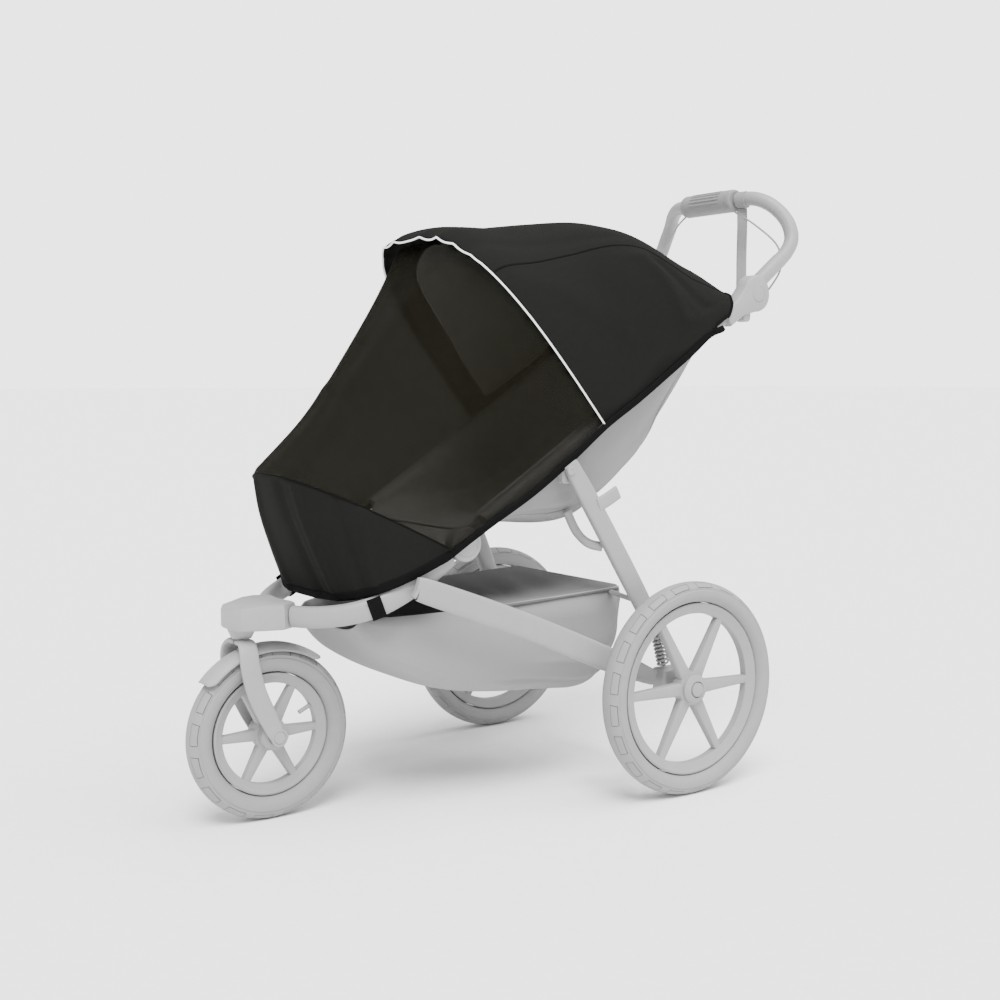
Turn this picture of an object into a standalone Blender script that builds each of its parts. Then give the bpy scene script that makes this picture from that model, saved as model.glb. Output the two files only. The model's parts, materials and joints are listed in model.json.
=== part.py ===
"""Mosquito net cover, fitted over a three-wheel stroller.

The cover is a sheer net body with a cloth hood behind it and a cloth foot
panel below it. It hangs over the stroller's bows and side tubes, and two
straps hold it to the front tubes. The stroller is built plain under it.

Metres, +Z up. The stroller faces -Y and its left side is +X. The origin is
on the floor, under the middle of the whole.
"""

import bpy
import bmesh
from collections import namedtuple
from math import atan, copysign, cos, exp, floor, hypot, pi, radians, sin
from mathutils import Vector

# Driving dimensions of the stroller
REAR_AXLE_Y = 0.218
WHEEL_BASE = 0.708
TRACK_HALF = 0.3205
REAR_WHEEL_R = 0.200
FRONT_WHEEL_R = 0.152
TYRE_HALF_WIDTH = 0.0235
WHEEL_SIDES = 32
GAP = 0.0003
TUBE_R = 0.0125
HANDLE_R = 0.0145
PIVOT_Y = -0.198
PIVOT_Z = 0.486
PIVOT_R = 0.031
SIDE_TUBE_RISE = 0.635
SIDE_TUBE_ABOVE_PIVOT = 0.018
SIDE_TUBE_X = 0.1945

# Driving dimensions of the cover
COVER_HALF = 0.2205
FOOT_HALF = 0.2028
CLOTH = 0.0013
HEM_WIDTH = 0.0105
HEM_THICK = 0.0024
BINDING_R = 0.0030
PIPING_R = 0.0026
STRAP_WIDTH = 0.025
STRAP_THICK = 0.0015
STRAP_CLEAR = 0.0022

FRONT_AXLE_Y = REAR_AXLE_Y - WHEEL_BASE
FACET = pi / WHEEL_SIDES

# A rib is one arch across the cover: it stands on the two hems at base_y,
# base_z, passes over crown_y, crown_z in the middle, and half is half its
# width. power is 2 for an ellipse and more for a squarer arch, and lead is 1
# for straight legs and less for legs that rise before they lean.
Rib = namedtuple("Rib", "base_y base_z crown_y crown_z half power lead")
# A fold is a soft ridge (or a trough, with a negative height) on a straight
# line over the sheet. Its ends are in the sheet's own 0 to 1 coordinates.
Fold = namedtuple("Fold", "around_a along_a around_b along_b width height")

HOOD_RIBS = (
    Rib(0.3600, 0.8735, 0.5120, 0.9660, COVER_HALF, 2.4, 0.43),
    Rib(0.3065, 0.8320, 0.3660, 1.0080, COVER_HALF, 3.3, 1.0),
    Rib(0.2385, 0.7860, 0.1930, 1.0680, COVER_HALF, 4.0, 1.0),
    Rib(0.1685, 0.7400, 0.0250, 1.0670, COVER_HALF, 2.6, 1.0),
    Rib(0.0935, 0.6942, -0.1910, 1.0350, COVER_HALF, 3.1, 1.0),
)
# Where the seam between hood top and hood side runs, from the rear edge to
# the front edge, as a share of the way round each rib.
HOOD_SEAM = (0.19, 0.215, 0.25, 0.27, 0.24)
NET_RIBS = (
    Rib(0.0985, 0.6980, -0.1660, 1.0250, 0.2152, 3.0, 1.0),
    Rib(0.0135, 0.6350, -0.2270, 0.9270, 0.2190, 2.65, 1.0),
    Rib(-0.0715, 0.5780, -0.3260, 0.7880, 0.2178, 2.35, 1.0),
    Rib(-0.1560, 0.5300, -0.3900, 0.7040, 0.2130, 2.28, 1.0),
    Rib(-0.2325, 0.4810, -0.4880, 0.6125, 0.2077, 2.21, 1.0),
)
FOOT_RIBS = (
    Rib(-0.2341, 0.4792, -0.4894, 0.6100, 0.2077, 2.21, 1.0),
    Rib(-0.2344, 0.4789, -0.4715, 0.5400, 0.2064, 2.5, 1.0),
    Rib(-0.2347, 0.4786, -0.4450, 0.4700, 0.2048, 2.75, 1.0),
    Rib(-0.2350, 0.4783, -0.4158, 0.4018, 0.2034, 3.0, 1.0),
)
# The lower edge of the hem tape under the foot panel.
FOOT_EDGE = Rib(-0.2317, 0.4647, -0.4112, 0.3898, FOOT_HALF, 3.1, 1.0)
# The lower edge of the left hem, from the hook at its rear end to the foot:
# half width, y and z.
HEM_LINE = (
    (COVER_HALF, 0.3900, 0.8665), (COVER_HALF, 0.3580, 0.8550), (COVER_HALF, 0.3130, 0.8215),
    (COVER_HALF, 0.2450, 0.7760), (COVER_HALF, 0.1750, 0.7300), (COVER_HALF, 0.1010, 0.6850),
    (0.2194, 0.0200, 0.6250), (0.2182, -0.0650, 0.5680), (0.2134, -0.1500, 0.5190),
    (0.2085, -0.2000, 0.4880),
)
HOOK_LOWER = (COVER_HALF, 0.3955, 0.8730)
HOOK_UPPER = (COVER_HALF, 0.3880, 0.8800)
HEM_LEAN = Vector((0.0, -0.54, 0.84))

HOOD_FOLDS = (
    Fold(0.40, 0.98, 0.45, 0.62, 0.030, -0.0035),
    Fold(0.60, 0.98, 0.56, 0.66, 0.030, -0.0030),
    Fold(0.33, 0.95, 0.31, 0.60, 0.022, 0.0030),
    Fold(0.67, 0.95, 0.70, 0.55, 0.022, 0.0030),
    Fold(0.21, 0.50, 0.05, 0.34, 0.024, -0.0050),
    Fold(0.20, 0.42, 0.09, 0.22, 0.020, 0.0040),
    Fold(0.20, 0.86, 0.06, 0.66, 0.030, -0.0025),
    Fold(0.79, 0.52, 0.94, 0.38, 0.026, -0.0045),
    Fold(0.81, 0.40, 0.90, 0.26, 0.020, 0.0035),
    Fold(0.80, 0.82, 0.93, 0.70, 0.030, -0.0025),
)
FOOT_FOLDS = (
    Fold(0.20, 0.05, 0.215, 0.95, 0.016, -0.0045),
    Fold(0.27, 0.05, 0.265, 0.95, 0.018, 0.0040),
    Fold(0.39, 0.10, 0.385, 0.95, 0.017, -0.0050),
    Fold(0.45, 0.10, 0.445, 0.95, 0.018, 0.0040),
    Fold(0.57, 0.10, 0.560, 0.95, 0.017, -0.0045),
    Fold(0.68, 0.10, 0.665, 0.95, 0.020, 0.0040),
    Fold(0.78, 0.05, 0.770, 0.95, 0.018, -0.0045),
)
NET_FOLDS = (
    Fold(0.42, 0.00, 0.46, 0.55, 0.020, -0.0035),
    Fold(0.50, 0.00, 0.50, 0.45, 0.020, 0.0030),
    Fold(0.58, 0.00, 0.54, 0.55, 0.020, -0.0035),
    Fold(0.50, 0.62, 0.46, 1.00, 0.018, 0.0035),
    Fold(0.58, 0.58, 0.60, 1.00, 0.018, -0.0035),
)
SCALLOPS = 5
SCALLOP_DEPTH = 0.0035
SCALLOP_REACH = 0.10

CANOPY_RIBS = (
    Rib(0.3180, 0.8720, 0.4300, 0.9600, 0.2060, 2.6, 0.8),
    Rib(0.2430, 0.8120, 0.1880, 1.0560, 0.2080, 4.0, 1.0),
    Rib(0.1760, 0.7700, 0.0350, 1.0520, 0.2080, 2.8, 1.0),
    Rib(0.1180, 0.7380, -0.1200, 1.0260, 0.2060, 3.1, 1.0),
)
SEAT_HALF = 0.178
SEAT_RIBS = (
    Rib(-0.1650, 0.5350, -0.1850, 0.5000, SEAT_HALF, 5.0, 1.0),
    Rib(-0.0600, 0.6000, -0.0800, 0.5100, SEAT_HALF, 4.5, 1.0),
    Rib(0.0600, 0.6760, 0.0640, 0.5150, SEAT_HALF, 4.0, 1.0),
    Rib(0.1500, 0.7340, 0.2000, 0.6000, SEAT_HALF, 4.0, 1.0),
    Rib(0.2400, 0.7900, 0.2900, 0.7120, SEAT_HALF, 4.5, 1.0),
    Rib(0.3350, 0.8500, 0.3950, 0.8580, SEAT_HALF, 5.0, 1.0),
)
BASKET_HALF = 0.170
BASKET_RIBS = (
    Rib(-0.3600, 0.3600, -0.3850, 0.3350, 0.1100, 5.0, 1.0),
    Rib(-0.3100, 0.3610, -0.3250, 0.2680, 0.1400, 4.5, 1.0),
    Rib(-0.1800, 0.3650, -0.1900, 0.2060, 0.1650, 4.5, 1.0),
    Rib(0.0000, 0.3710, 0.0000, 0.1800, BASKET_HALF, 4.5, 1.0),
    Rib(0.1400, 0.3760, 0.1500, 0.1860, BASKET_HALF, 4.5, 1.0),
    Rib(0.1720, 0.3780, 0.1820, 0.3300, BASKET_HALF, 5.0, 1.0),
)

GREY = (0.52, 0.52, 0.52, 1.0)
PALE = (0.60, 0.60, 0.60, 1.0)
BLACK = (0.022, 0.022, 0.021, 1.0)
WHITE = (0.85, 0.85, 0.85, 1.0)


def material(name, colour, roughness, metallic=0.0):
    """Return the Principled material of this name, made on first use."""
    found = bpy.data.materials.get(name)
    if found:
        return found
    made = bpy.data.materials.new(name)
    made.use_nodes = True
    shader = made.node_tree.nodes["Principled BSDF"]
    shader.inputs["Base Color"].default_value = colour
    shader.inputs["Roughness"].default_value = roughness
    shader.inputs["Metallic"].default_value = metallic
    made.diffuse_color = colour
    return made


def collection(name):
    made = bpy.data.collections.new(name)
    bpy.context.scene.collection.children.link(made)
    return made


def add_mesh(name, bm, finish, smooth=True):
    """Turn a bmesh into a named object of the stroller's collection."""
    mesh = bpy.data.meshes.new(name)
    bm.to_mesh(mesh)
    bm.free()
    if smooth:
        mesh.shade_smooth()
        mesh.set_sharp_from_angle(angle=radians(40))
    thing = bpy.data.objects.new(name, mesh)
    mesh.materials.append(finish)
    PARTS.objects.link(thing)
    return thing


def spline(points, share):
    """Catmull-Rom blend through points, at a share of 0 to 1 along them."""
    last = len(points) - 1
    place = min(max(share, 0.0), 1.0) * last
    index = min(floor(place), last - 1)
    t = place - index
    p0 = points[max(index - 1, 0)]
    p1 = points[index]
    p2 = points[index + 1]
    p3 = points[min(index + 2, last)]
    blended = []
    for a, b, c, d in zip(p0, p1, p2, p3):
        slope = (c - a) * t
        bend = (2 * a - 5 * b + 4 * c - d) * t * t
        twist = (3 * b - a - 3 * c + d) * t ** 3
        blended.append(0.5 * (2 * b + slope + bend + twist))
    return blended


def smooth_path(points, steps):
    """Points at even shares of a smooth curve through the route's own points."""
    return [Vector(spline(points, i / steps)) for i in range(steps + 1)]


def rib_at(ribs, along):
    return Rib(*spline(ribs, along))


def arch_point(rib, around):
    """A point of a rib: around is 0 at the left hem and 1 at the right hem."""
    turn = pi * min(max(around, 0.0), 1.0)
    side = copysign(abs(cos(turn)) ** (2 / rib.power), cos(turn))
    rise = abs(sin(turn)) ** (2 / rib.power)
    return Vector((
        rib.half * side,
        rib.base_y + (rib.crown_y - rib.base_y) * rise,
        rib.base_z + (rib.crown_z - rib.base_z) * rise ** rib.lead,
    ))


def fold_height(folds, around, along):
    """How far the folds lift the cloth at one place of a sheet."""
    lift = 0.0
    for fold in folds:
        run_a = fold.around_b - fold.around_a
        run_l = fold.along_b - fold.along_a
        length = run_a * run_a + run_l * run_l
        offset_a = around - fold.around_a
        offset_l = along - fold.along_a
        share = min(max((offset_a * run_a + offset_l * run_l) / length, 0.0), 1.0)
        off = hypot(offset_a - share * run_a, 0.35 * (offset_l - share * run_l))
        lift += fold.height * exp(-((off / fold.width) ** 2))
    return lift


def folded(surface, folds, edge=0.12):
    """A surface with its folds, which fade out towards the two hems."""
    step = 0.004

    def place(around, along):
        point = surface(around, along)
        left = surface(around - step, along)
        right = surface(around + step, along)
        rear = surface(around, along - step)
        front = surface(around, along + step)
        normal = (right - left).cross(front - rear)
        if normal.length < 1e-12:
            return point
        normal.normalize()
        fade = min(1.0, around / edge, (1 - around) / edge)
        return point - normal * fold_height(folds, around, along) * fade

    return place


def sheet(name, place, cells, finish, inside, thickness=CLOTH):
    """Cloth: a grid laid on place(around, along), thickened to the inside."""
    bm = bmesh.new()
    bmesh.ops.create_grid(bm, x_segments=cells[0], y_segments=cells[1], size=0.5)
    for vert in bm.verts:
        vert.co = place(vert.co.x + 0.5, vert.co.y + 0.5)
    bm.normal_update()
    outward = sum(f.normal.dot(f.calc_center_median() - Vector(inside)) for f in bm.faces)
    if outward < 0:
        bmesh.ops.reverse_faces(bm, faces=bm.faces)
    thing = add_mesh(name, bm, finish)
    solid = thing.modifiers.new("thickness", "SOLIDIFY")
    solid.thickness = thickness
    solid.offset = -1.0
    return thing


def tube(name, points, radius, finish, resolution=2):
    """A round tube, cord or binding along points, with filled ends."""
    curve = bpy.data.curves.new(name, "CURVE")
    curve.dimensions = "3D"
    curve.bevel_depth = radius
    curve.bevel_resolution = resolution
    curve.use_fill_caps = True
    line = curve.splines.new("POLY")
    line.points.add(len(points) - 1)
    for point, place in zip(line.points, points):
        point.co = (*place, 1.0)
    curve.materials.append(finish)
    thing = bpy.data.objects.new(name, curve)
    PARTS.objects.link(thing)
    return thing


def bar(name, stations, finish):
    """A bar lofted through sections: (place, width across, depth in its plane)."""
    corners = ((1, 0.6), (0.6, 1), (-0.6, 1), (-1, 0.6), (-1, -0.6), (-0.6, -1), (0.6, -1), (1, -0.6))
    bm = bmesh.new()
    places = [Vector(station[0]) for station in stations]
    rings = []
    for index, (place, width, depth) in enumerate(stations):
        run = places[min(index + 1, len(places) - 1)] - places[max(index - 1, 0)]
        up = run.cross(Vector((1, 0, 0))).normalized()
        across = up.cross(run).normalized()
        ring = []
        for side, rise in corners:
            corner = Vector(place) + across * (side * width / 2) + up * (rise * depth / 2)
            ring.append(bm.verts.new(corner))
        rings.append(ring)
    for ring, following in zip(rings, rings[1:]):
        for i in range(len(corners)):
            j = (i + 1) % len(corners)
            bm.faces.new((ring[i], ring[j], following[j], following[i]))
    bm.faces.new(list(reversed(rings[0])))
    bm.faces.new(rings[-1])
    bmesh.ops.recalc_face_normals(bm, faces=bm.faces)
    return add_mesh(name, bm, finish)


def disc(name, centre, radius, length, finish, sides=24):
    """A round pin, hub or joint that lies along X."""
    bm = bmesh.new()
    bmesh.ops.create_cone(
        bm, cap_ends=True, segments=sides, radius1=radius, radius2=radius, depth=length)
    thing = add_mesh(name, bm, finish)
    thing.rotation_euler = (0, pi / 2, 0)
    thing.location = centre
    return thing


def block(name, low, high, finish, bevel=0.003):
    """A plain block between two corners, its edges bevelled."""
    size = Vector(high) - Vector(low)
    bm = bmesh.new()
    bmesh.ops.create_cube(bm, size=1.0)
    bmesh.ops.scale(bm, vec=size, verts=bm.verts)
    thing = add_mesh(name, bm, finish, smooth=False)
    thing.location = (Vector(high) + Vector(low)) / 2
    edge = thing.modifiers.new("edges", "BEVEL")
    edge.width = bevel
    edge.segments = 1
    return thing


def turned(name, profile, centre, finish):
    """A ring turned about a wheel's axle: profile holds (radius, across)."""
    bm = bmesh.new()
    verts = [bm.verts.new((r * cos(FACET), r * sin(FACET), z)) for r, z in profile]
    for first, second in zip(verts, verts[1:] + verts[:1]):
        bm.edges.new((first, second))
    thing = add_mesh(name, bm, finish, smooth=False)
    screw = thing.modifiers.new("turn", "SCREW")
    screw.axis = "Z"
    screw.angle = 2 * pi
    screw.steps = WHEEL_SIDES
    screw.render_steps = WHEEL_SIDES
    screw.use_merge_vertices = True
    screw.merge_threshold = 0.00001
    thing.rotation_euler = (0, pi / 2, 0)
    thing.location = centre
    return thing


def flat_ring(name, outlines, half_thick, centre, finish):
    """A flat web that lies across an axle: an outline with holes in it."""
    curve = bpy.data.curves.new(name, "CURVE")
    curve.dimensions = "2D"
    curve.fill_mode = "BOTH"
    curve.extrude = half_thick
    for outline in outlines:
        line = curve.splines.new("POLY")
        line.points.add(len(outline) - 1)
        line.use_cyclic_u = True
        for point, (x, y) in zip(line.points, outline):
            point.co = (x, y, 0.0, 1.0)
    curve.materials.append(finish)
    thing = bpy.data.objects.new(name, curve)
    thing.rotation_euler = (0, pi / 2, 0)
    thing.location = centre
    PARTS.objects.link(thing)
    return thing


def plan_block(name, outline, low, high, finish, bevel=0.006):
    """A block with this outline seen from above, its edges rounded off."""
    middle = sum((Vector(point) for point in outline), Vector((0, 0))) / len(outline)
    bm = bmesh.new()
    rings = []
    for z, shrink in ((low, bevel), (low + bevel, 0), (high - bevel, 0), (high, bevel)):
        ring = []
        for point in outline:
            inward = (middle - Vector(point)).normalized() * shrink
            ring.append(bm.verts.new((point[0] + inward.x, point[1] + inward.y, z)))
        rings.append(ring)
    for ring, following in zip(rings, rings[1:]):
        for i in range(len(outline)):
            j = (i + 1) % len(outline)
            bm.faces.new((ring[i], ring[j], following[j], following[i]))
    bm.faces.new(list(reversed(rings[0])))
    bm.faces.new(rings[-1])
    bmesh.ops.recalc_face_normals(bm, faces=bm.faces)
    return add_mesh(name, bm, finish)


def joint_outline():
    """The side view of a handle joint: a disc with a neck down its side tube."""
    tilt = atan(SIDE_TUBE_RISE)
    run = (-cos(tilt), -sin(tilt))
    side = (sin(tilt), -cos(tilt))
    turns = [tilt - 0.72 * pi + 1.44 * pi * i / 18 for i in range(19)]
    points = [(JOINT_R * cos(turn), JOINT_R * sin(turn)) for turn in turns]
    for along, out in ((NECK_LENGTH, -NECK_HALF), (NECK_LENGTH, NECK_HALF)):
        points.append((run[0] * along + side[0] * out, run[1] * along + side[1] * out))
    return [(-z, y) for y, z in points]


def circle(radius, steps, turn=0.0):
    return [(radius * cos(turn + 2 * pi * i / steps), radius * sin(turn + 2 * pi * i / steps))
            for i in range(steps)]


def spoke_window(middle, spoke_half_in, spoke_half_out, inner, outer):
    """The opening between two spokes, with its middle at an angle."""
    half_in = pi / 6 - spoke_half_in / inner
    half_out = pi / 6 - spoke_half_out / outer
    points = [(inner * cos(middle + a), inner * sin(middle + a)) for a in (-half_in, 0, half_in)]
    for i in range(5):
        angle = middle + half_out * (1 - i / 2)
        points.append((outer * cos(angle), outer * sin(angle)))
    return points


def wheel(side, centre, radius, rim, opening, hub, hub_length, spoke_turn):
    """Tyre, spoked rim and hub. radius is that of the tyre's lowest facet."""
    reach = radius / cos(FACET)
    tyre = [
        (reach, 0.0110), (reach, -0.0110), (reach - 0.006, -0.0195),
        (reach - 0.020, -TYRE_HALF_WIDTH), (rim, -0.0165), (rim, 0.0165),
        (reach - 0.020, TYRE_HALF_WIDTH), (reach - 0.006, 0.0195),
    ]
    turned("tyre_" + side, tyre, centre, material("tyre_grey", GREY, 0.75))
    outer = rim - 1.2 * GAP
    windows = [spoke_window(spoke_turn + pi / 6 + i * pi / 3, 0.0105, 0.0060, hub + 0.006, opening)
               for i in range(6)]
    outlines = [circle(outer, WHEEL_SIDES, FACET), circle(hub, 16)] + windows
    flat_ring("rim_" + side, outlines, 0.0130, centre, material("frame_pale", PALE, 0.45))
    disc("hub_" + side, centre, hub - GAP, hub_length, material("frame_pale", PALE, 0.45), 16)


def hood_point(around, along):
    """The hood's outer face, its front edge drawn into soft scallops."""
    point = arch_point(rib_at(HOOD_RIBS, along), around)
    near_edge = max(0.0, 1 - (1 - along) / SCALLOP_REACH)
    on_top = max(0.0, 1 - abs(around - 0.5) / 0.30)
    wave = abs(sin(SCALLOPS * pi * (around - 0.2) / 0.6))
    point.z -= SCALLOP_DEPTH * near_edge ** 2 * on_top ** 0.5 * wave
    return point


def net_point(around, along):
    return arch_point(rib_at(NET_RIBS, along), around)


def foot_point(around, along):
    return arch_point(rib_at(FOOT_RIBS, along), around)


def seam_at(along):
    return spline([(share,) for share in HOOD_SEAM], along)[0]


def build_cover():
    """The cover's own pieces: net, hood, foot panel, edgings and straps."""
    cloth = material("cover_cloth", BLACK, 0.85)
    mesh = material("cover_net", BLACK, 0.7)
    webbing = material("cover_webbing", BLACK, 0.6)
    reflective = material("cover_piping", WHITE, 0.35)
    inside = (0.0, -0.05, 0.65)
    hood = folded(hood_point, HOOD_FOLDS, 0.05)
    foot = folded(foot_point, FOOT_FOLDS, 0.12)
    seam_gap = 0.0015

    def hood_top(across, along):
        left = seam_at(along) + seam_gap
        return hood(left + (1 - 2 * left) * across, along)

    def hood_left(across, along):
        return hood((seam_at(along) - seam_gap) * across, along)

    def hood_right(across, along):
        return hood(1 - (seam_at(along) - seam_gap) * across, along)

    sheet("hood_top", hood_top, (18, 15), cloth, inside)
    sheet("hood_side_left", hood_left, (8, 15), cloth, inside)
    sheet("hood_side_right", hood_right, (8, 15), cloth, inside)
    sheet("net_body", folded(net_point, NET_FOLDS), (42, 12), mesh, inside)
    sheet("foot_panel", foot, (42, 5), cloth, inside)
    piping = edge_line(hood, 1.0, -0.01, PIPING_R + 1.5 * GAP, 34)
    tube("hood_piping", piping, PIPING_R, reflective, 1)
    rear = edge_line(hood, 0.0, 0.01, BINDING_R + 4 * GAP, 44)
    tube("rear_binding", rear, BINDING_R, cloth, 1)
    build_hem(foot, cloth)
    build_straps(webbing)


def edge_line(surface, along, inward, beyond, steps):
    """Points just past a sheet's edge at along, square to that edge."""
    line = []
    nudge = 0.0006
    for i in range(steps + 1):
        around = i / steps
        edge = surface(around, along)
        run = (surface(around + nudge, along) - surface(around - nudge, along)).normalized()
        away = edge - surface(around, along + inward)
        away = (away - run * away.dot(run)).normalized()
        line.append(edge + away * beyond)
    return line


def build_hem(foot, cloth):
    """The hem tape: hook, left hem, round the foot panel, right hem, hook."""
    drop = 7 * GAP
    lower = [Vector((half + HEM_THICK / 5, y, z)) for half, y, z in HEM_LINE]
    upper = [place + HEM_LEAN * HEM_WIDTH for place in lower]
    lower.insert(0, Vector(HOOK_LOWER))
    upper.insert(0, Vector(HOOK_UPPER))
    steps = 22
    for i in range(steps + 1):
        around = 0.002 + 0.996 * i / steps
        edge = foot(around, 1.0)
        below = arch_point(FOOT_EDGE, around) + edge - foot_point(around, 1.0)
        lower.append(below)
        upper.append(edge + (below - edge).normalized() * drop)
    count = len(HEM_LINE) + 1
    mirror = Vector((-1, 1, 1))
    lower += [place * mirror for place in reversed(lower[:count])]
    upper += [place * mirror for place in reversed(upper[:count])]

    def tape(run, across):
        low = Vector(spline(lower, run))
        return low + (Vector(spline(upper, run)) - low) * across

    sheet("hem_tape", tape, (72, 1), cloth, (0.0, -0.05, 0.65), HEM_THICK)


def strap_path(share):
    """Round the front tube and up behind the hem: offsets across and up."""
    out = FRONT_TUBE_WIDTH / 2 + STRAP_CLEAR
    down = FRONT_TUBE_DEPTH / 2 + STRAP_CLEAR
    legs = 0.012
    under = pi * (out + down) / 2
    run = share * (under + 2 * legs)
    if run < legs:
        return out, legs - run
    if run > under + legs:
        return -out, run - under - legs
    turn = pi * (run - legs) / under
    return out * copysign(abs(cos(turn)) ** 0.5, cos(turn)), -down * abs(sin(turn)) ** 0.5


def build_straps(webbing):
    """One webbing loop on each front tube, under the foot panel's hem."""
    for side, name in ((1, "strap_left"), (-1, "strap_right")):
        start = Vector(FRONT_TUBE[3])
        run = Vector(FRONT_TUBE[4]) - Vector(FRONT_TUBE[2])
        run.normalize()
        up = Vector((1, 0, 0)).cross(run).normalized()
        across = run.cross(up).normalized()

        def place(around, along):
            out, rise = strap_path(around)
            point = start + across * out + up * rise + run * (STRAP_WIDTH * (along - 0.5))
            return Vector((side * point.x, point.y, point.z))

        centre = Vector((side * start.x, start.y, start.z))
        sheet(name, place, (12, 1), webbing, centre, -STRAP_THICK)


# Routes of the left front tube and of the handle's left half
FRONT_TUBE = (
    (0.0560, -0.4668, 0.3655), (0.1000, -0.4430, 0.3675), (0.1400, -0.4060, 0.3745),
    (0.1640, -0.3640, 0.3870), (0.1760, -0.3250, 0.4050), (0.1820, -0.2800, 0.4310),
    (0.1840, -0.2275, 0.4660),
)
HANDLE = (
    (0.2030, 0.5155, 0.9855), (0.2030, 0.5580, 1.0175), (0.2020, 0.5960, 1.0510),
    (0.1945, 0.6170, 1.0820), (0.1850, 0.6286, 1.1030), (0.1700, 0.6110, 1.1180),
    (0.1480, 0.5915, 1.1360), (0.1156, 0.5764, 1.1485), (0.0790, 0.5664, 1.1475),
)
HEAD_OUTLINE = (
    (0.0, -0.5660), (0.0300, -0.5630), (0.0430, -0.5500), (0.0570, -0.5120),
    (0.0640, -0.4862), (0.0440, -0.4492), (0.0200, -0.4580), (0.0, -0.4610),
)
GRIP_HALF = 0.0745
GRIP_R = 0.0235
FRONT_TUBE_WIDTH = 0.026
FRONT_TUBE_DEPTH = 0.038
JOINT_Y = 0.506
JOINT_Z = 0.943
JOINT_R = 0.031
NECK_LENGTH = 0.078
NECK_HALF = 0.0205


def side_tube_z(y):
    return PIVOT_Z + SIDE_TUBE_ABOVE_PIVOT + SIDE_TUBE_RISE * (y - PIVOT_Y)


def build_frame():
    """Tubes, joints, bars, axle and head block of the stroller."""
    finish = material("frame_pale", PALE, 0.45)
    for side, name in ((1, "left"), (-1, "right")):

        def mirrored(points):
            return [(side * x, y, z) for x, y, z in points]

        def stations(rows):
            return [((side * x, y, z), width, depth) for x, y, z, width, depth in rows]

        oval = [(place, FRONT_TUBE_WIDTH, FRONT_TUBE_DEPTH)
                for place in smooth_path(mirrored(FRONT_TUBE), 14)]
        bar("front_tube_" + name, oval, finish)
        disc("pivot_" + name, (side * 0.1845, PIVOT_Y, PIVOT_Z), PIVOT_R, 0.0260, finish)
        low_y = PIVOT_Y + 0.0345
        high_y = JOINT_Y - NECK_LENGTH * cos(atan(SIDE_TUBE_RISE)) - 0.006
        side_tube = [(SIDE_TUBE_X, y, side_tube_z(y)) for y in (low_y, high_y)]
        tube("side_tube_" + name, mirrored(side_tube), TUBE_R, finish)
        joint = (side * 0.203, JOINT_Y, JOINT_Z)
        flat_ring("handle_joint_" + name, [joint_outline()], 0.0150, joint, finish)
        tube("handle_arm_" + name, smooth_path(mirrored(HANDLE), 22), HANDLE_R, finish)
        bar("chassis_bar_" + name, stations((
            (0.2100, -0.3190, 0.4210, 0.010, 0.020), (0.2125, -0.2900, 0.4130, 0.014, 0.042),
            (0.2340, -0.1040, 0.3395, 0.014, 0.044), (0.2600, 0.0750, 0.2590, 0.014, 0.044),
            (0.2660, 0.1760, 0.2150, 0.014, 0.028),
        )), finish)
        disc("bar_pin_" + name, (side * 0.2000, -0.2880, 0.4190), 0.008, 0.0092, finish, 12)
        stay = [(0.1712, 0.1500, 0.3680), (0.2395, 0.1580, 0.3590)]
        tube("basket_stay_" + name, mirrored(stay), 0.0050, finish, 1)
        bar("rear_leg_" + name, stations((
            (0.2200, 0.0115, 0.6080, 0.013, 0.030), (0.2320, 0.0880, 0.4780, 0.016, 0.031),
            (0.2520, 0.1570, 0.3530, 0.016, 0.031), (0.2640, 0.1835, 0.2995, 0.016, 0.028),
        )), finish)
        leg_bracket = sorted((side * 0.1960, side * 0.2131))
        block("leg_bracket_" + name, (leg_bracket[0], 0.0020, 0.5850),
              (leg_bracket[1], 0.0260, 0.6150), finish)
        spring = [(0.2650, 0.1874, 0.2962), (0.2650, 0.2040, 0.2340)]
        tube("spring_" + name, mirrored(spring), 0.0130, finish)
        low_x, high_x = sorted((side * 0.2480, side * 0.2840))
        block("axle_block_" + name, (low_x, 0.1900, 0.1800), (high_x, 0.2450, 0.2300), finish)
        build_fork_leg(side, name, finish)
    build_axle_and_grip(finish)
    build_head(finish)


def build_fork_leg(side, name, finish):
    rows = (
        (0.0360, -0.5430, 0.3085, 0.009, 0.024), (0.0400, -0.5420, 0.2880, 0.009, 0.024),
        (0.0410, -0.5300, 0.2350, 0.008, 0.024), (0.0410, -0.5070, 0.1850, 0.008, 0.024),
        (0.0410, -0.4880, 0.1400, 0.008, 0.024),
    )
    bar("fork_leg_" + name, [((side * x, y, z), w, d) for x, y, z, w, d in rows], finish)


def build_axle_and_grip(finish):
    axle = [(-0.2477, REAR_AXLE_Y, REAR_WHEEL_R), (0.2477, REAR_AXLE_Y, REAR_WHEEL_R)]
    tube("rear_axle", axle, 0.012, finish)
    for side, name in ((1, "left"), (-1, "right")):
        stub = (side * 0.28925, REAR_AXLE_Y, REAR_WHEEL_R)
        disc("stub_axle_" + name, stub, 0.009, 0.0100, finish, 12)
    grip_y = HANDLE[-1][1] - 0.002
    grip_z = HANDLE[-1][2] + 0.0005
    grip = [(-GRIP_HALF, grip_y, grip_z), (GRIP_HALF, grip_y, grip_z)]
    tube("handle_grip", grip, GRIP_R, material("grip_grey", GREY, 0.7))


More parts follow.
